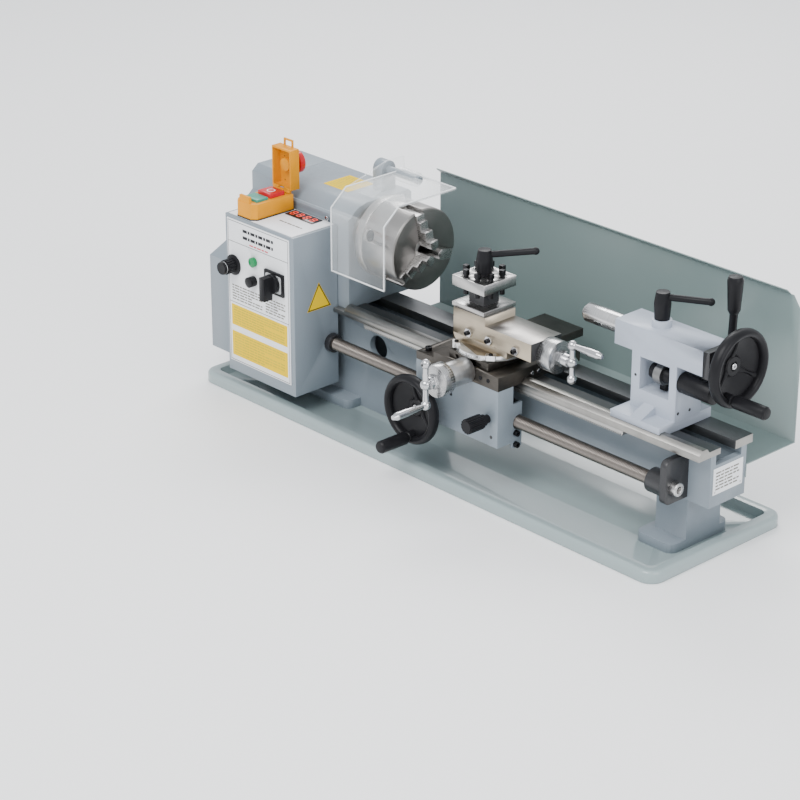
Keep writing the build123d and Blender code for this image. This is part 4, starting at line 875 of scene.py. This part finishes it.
def controls():
    """Speed knob, plate of the direction switch and knob of the half nut lever."""
    speed = basis((-314, -109.5, 168.6), (0, -1, 0), (1, 0, 0))

    def knob(bm):
        add_lathe(bm, [(0, 0), (13, 0), (13, 1.0), (12, 1.8), (9.4, 2.2), (8, 3), (8, 15.5), (0, 15.5)],
                  speed, 48)
        ribbed(bm, speed, 9.2, 3, 14.5, 16, 0.9)
        add_lathe(bm, [(0, 16.5), (8.2, 16.5), (8.4, 17.2), (7.6, 20), (0, 20)], speed, 40)
        add_lathe(bm, [(0, -12), (3.9, -12), (3.9, 1), (0, 1)], speed, 24)
    first = new_piece("speed_knob_body", "black", "speed", knob)

    def band(bm):
        add_lathe(bm, [(0, 15.5), (7.9, 15.5), (7.9, 16.5), (0, 16.5)], speed, 40)
    second = new_piece("speed_knob_band", "plate", "speed", band)
    for part in (first, second):
        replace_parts(part, "speed_knob")

    turn = basis((-237.5, -112.2, 167), (0, -1, 0), (1, 0, 0))

    def face(bm):
        add_prism(bm, rounded_outline(28, 22, 3), turn, 0.0, 0.3)
    new_piece("switch_plate_face", "plate", "frame", face, smooth=0)

    def ticks(bm):
        for k in (-1, 0, 1):
            add_card(bm, turn, (k * 9 - 0.4, k * 9 + 0.4), (8.2, 10), 0.1, 0.3)
    new_piece("switch_plate_ticks", "ink", "frame", ticks, smooth=0)

    nut = basis((96, 0, 93), (0, -1, 0), (1, 0, 0))

    def nut_knob(bm):
        add_lathe(bm, [(0, 60), (5, 60), (5, 89.8), (7, 90), (7, 95), (0, 95)], nut, 32)
        ribbed(bm, nut, 9.0, 95, 116.6, 14, 0.8)
        add_lathe(bm, [(0, 116), (7.6, 116), (7.2, 117.8), (0, 117.8)], nut, 32)
    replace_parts(new_piece("nut_lever_knob", "black", "nut_lever", nut_knob), "half_nut_lever")


def rounded_outline(wide, tall, r):
    """Rectangle with rounded corners about the local origin."""
    points = []
    for cx, cy, start in ((1, 1, 0), (-1, 1, 90), (-1, -1, 180), (1, -1, 270)):
        for k in range(5):
            a = math.radians(start + 22.5 * k)
            points.append((cx * (wide / 2 - r) + r * math.cos(a), cy * (tall / 2 - r) + r * math.sin(a)))
    return points


def discs(name, material, body, places, axis, r, high):
    """Small round heads or recesses that stand a little out of a face."""
    def make(bm):
        for place in places:
            add_lathe(bm, [(0, -0.3), (r, -0.3), (r, high * 0.6), (r * 0.8, high), (0, high)],
                      basis(place, axis), 20)
    return new_piece(name, material, body, make)


def small_fittings():
    """Set screws, black discs as painted shade in hole mouths and slots, nuts on the crank shafts, and the
    gasket of the switch box.
    """
    discs("saddle_side_screws", "chrome", "carriage", [(112, -30, 138), (112, -20, 138)], (1, 0, 0), 2.4, 1.2)
    discs("tailstock_set_screws", "black_paint_and_hole_shade", "tailstock",
          [(316, -16, 151), (316, 3, 150)], (1, 0, 0), 1.9, 0.15)
    discs("tailstock_front_screw", "black_paint_and_hole_shade", "tailstock", [(258, -21, 180)], (0, -1, 0), 1.7, 0.15)
    # painted shade: black discs for the dark inside of the apron holes
    discs("apron_hole_mouths", "black_paint_and_hole_shade", "carriage",
          [(37, -83.7, 104), (102, -83.7, 72)], (0, -1, 0), 2.2, 0.15)
    discs("saddle_front_screws", "oxide", "carriage",
          [(96, -83.7, 139), (84, -83.7, 139)], (0, -1, 0), 2.4, 1.0)
    # painted shade: black dots for the dark inside of the lid holes
    dots = [(-303, -35, 292), (-289, -35, 292), (-303, -35, 262), (-289, -35, 264), (-296, -35, 300)]
    discs("lid_inner_holes", "black_paint_and_hole_shade", "lid", dots, (0, -1, 0), 0.9, 0.1)
    # painted shade: black discs for the dark inside of the crank slots
    discs("cross_crank_slots", "black_paint_and_hole_shade", "cross_crank",
          [(61, -151.6, 167), (61, -151.6, 142)], (0, -1, 0), 1.7, 0.5)
    discs("end_label_rivets", "chrome", "frame", [(374.9, 23, 79), (374.9, -19, 79)], (1, 0, 0), 1.1, 0.5)
    discs("stop_button_mark", "white", "stop", [(-296, -63.5, 257)], (0, 0, 1), 5.2, 0.12)
    discs("stop_button_middle", "red", "stop", [(-296, -63.5, 257)], (0, 0, 1), 4.0, 0.25)

    def nuts(bm):
        add_prism(bm, hexagon(9.2, 30), basis((166, -42, 177), (1, 0, 0)), 0, 6)
    new_piece("top_crank_nut", "chrome", "top_crank", nuts, 0.5)

    def cross_nuts(bm):
        add_prism(bm, hexagon(9.2, 30), basis((61, -133, 142), (0, -1, 0)), 0, 5)
    new_piece("cross_crank_nut", "chrome", "cross_crank", cross_nuts, 0.5)

    def gasket(bm):
        outline = [(-314.7, -43.4), (-277.3, -43.4), (-277.3, -100.2), (-283.8, -106.6), (-308.2, -106.6),
                   (-314.7, -100.2)]
        add_prism(bm, outline, basis((0, 0, 232), (0, 0, 1), (1, 0, 0)), 0.0, 1.3)
    new_piece("switch_gasket", "rubber", "frame", gasket, smooth=0)

    def tabs(bm):
        for angle in (-132, -48):
            a = math.radians(angle)
            place = (61 + 41 * math.cos(a), -42 + 41 * math.sin(a), 163)
            along = basis(place, (0, 0, 1), (math.cos(a), math.sin(a), 0))
            add_prism(bm, rounded_outline(9, 12, 2), along, -4, 2.0)
    new_piece("swivel_tabs", "ring", "swivel", tabs, 0.4)
    angles = [math.radians(a) for a in (-132, -48)]
    heads = [(61 + 41 * math.cos(a), -42 + 41 * math.sin(a), 165) for a in angles]
    discs("swivel_tab_screws", "oxide", "swivel", heads, (0, 0, 1), 2.6, 1.2)


def quill():
    """The tailstock barrel: chamfered nose, a turned witness line and a bored back end."""
    def barrel(bm):
        along = basis((0, 0, CENTRE_Z), (1, 0, 0))
        add_lathe(bm, [(6, 166), (9, 166), (11, 169), (11, 196), (10.6, 196.5), (10.6, 198), (11, 198.5),
                       (11, 288), (4.5, 288), (4.5, 216), (6, 216)], along, segments=96)
    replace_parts(new_piece("quill_barrel", "quill", "quill_body", barrel), "quill")


def tailstock_window():
    """What shows through the opening in the tailstock: the clamping cam and the bolt head."""
    def lobe(bm):
        add_lathe(bm, [(5.2, 281), (11, 281), (11.5, 281.6), (11.5, 290.4), (11, 291), (5.2, 291)],
                  basis((0, -9, 186), (1, 0, 0)), segments=48)

    def bolt(bm):
        add_prism(bm, hexagon(8), basis((285, 0, 166), (0, 0, 1)), 0, 7)
    new_piece("clamp_cam_lobe", "gear", "clamp_lever", lobe)
    new_piece("clamp_bolt_head", "oxide", "tailstock", bolt, bevel=0.5)


def details():
    handwheels()
    threads()
    panel_print()
    display()
    scale_ring()
    numbers()
    gib_screws()
    quill()
    tailstock_window()
    chuck_details()
    guard_edges()
    controls()
    small_fittings()


def build():
    for node in CARRIED:
        dress(node)
    paint_regions()
    details()


camera()
studio()
make_materials()
build()
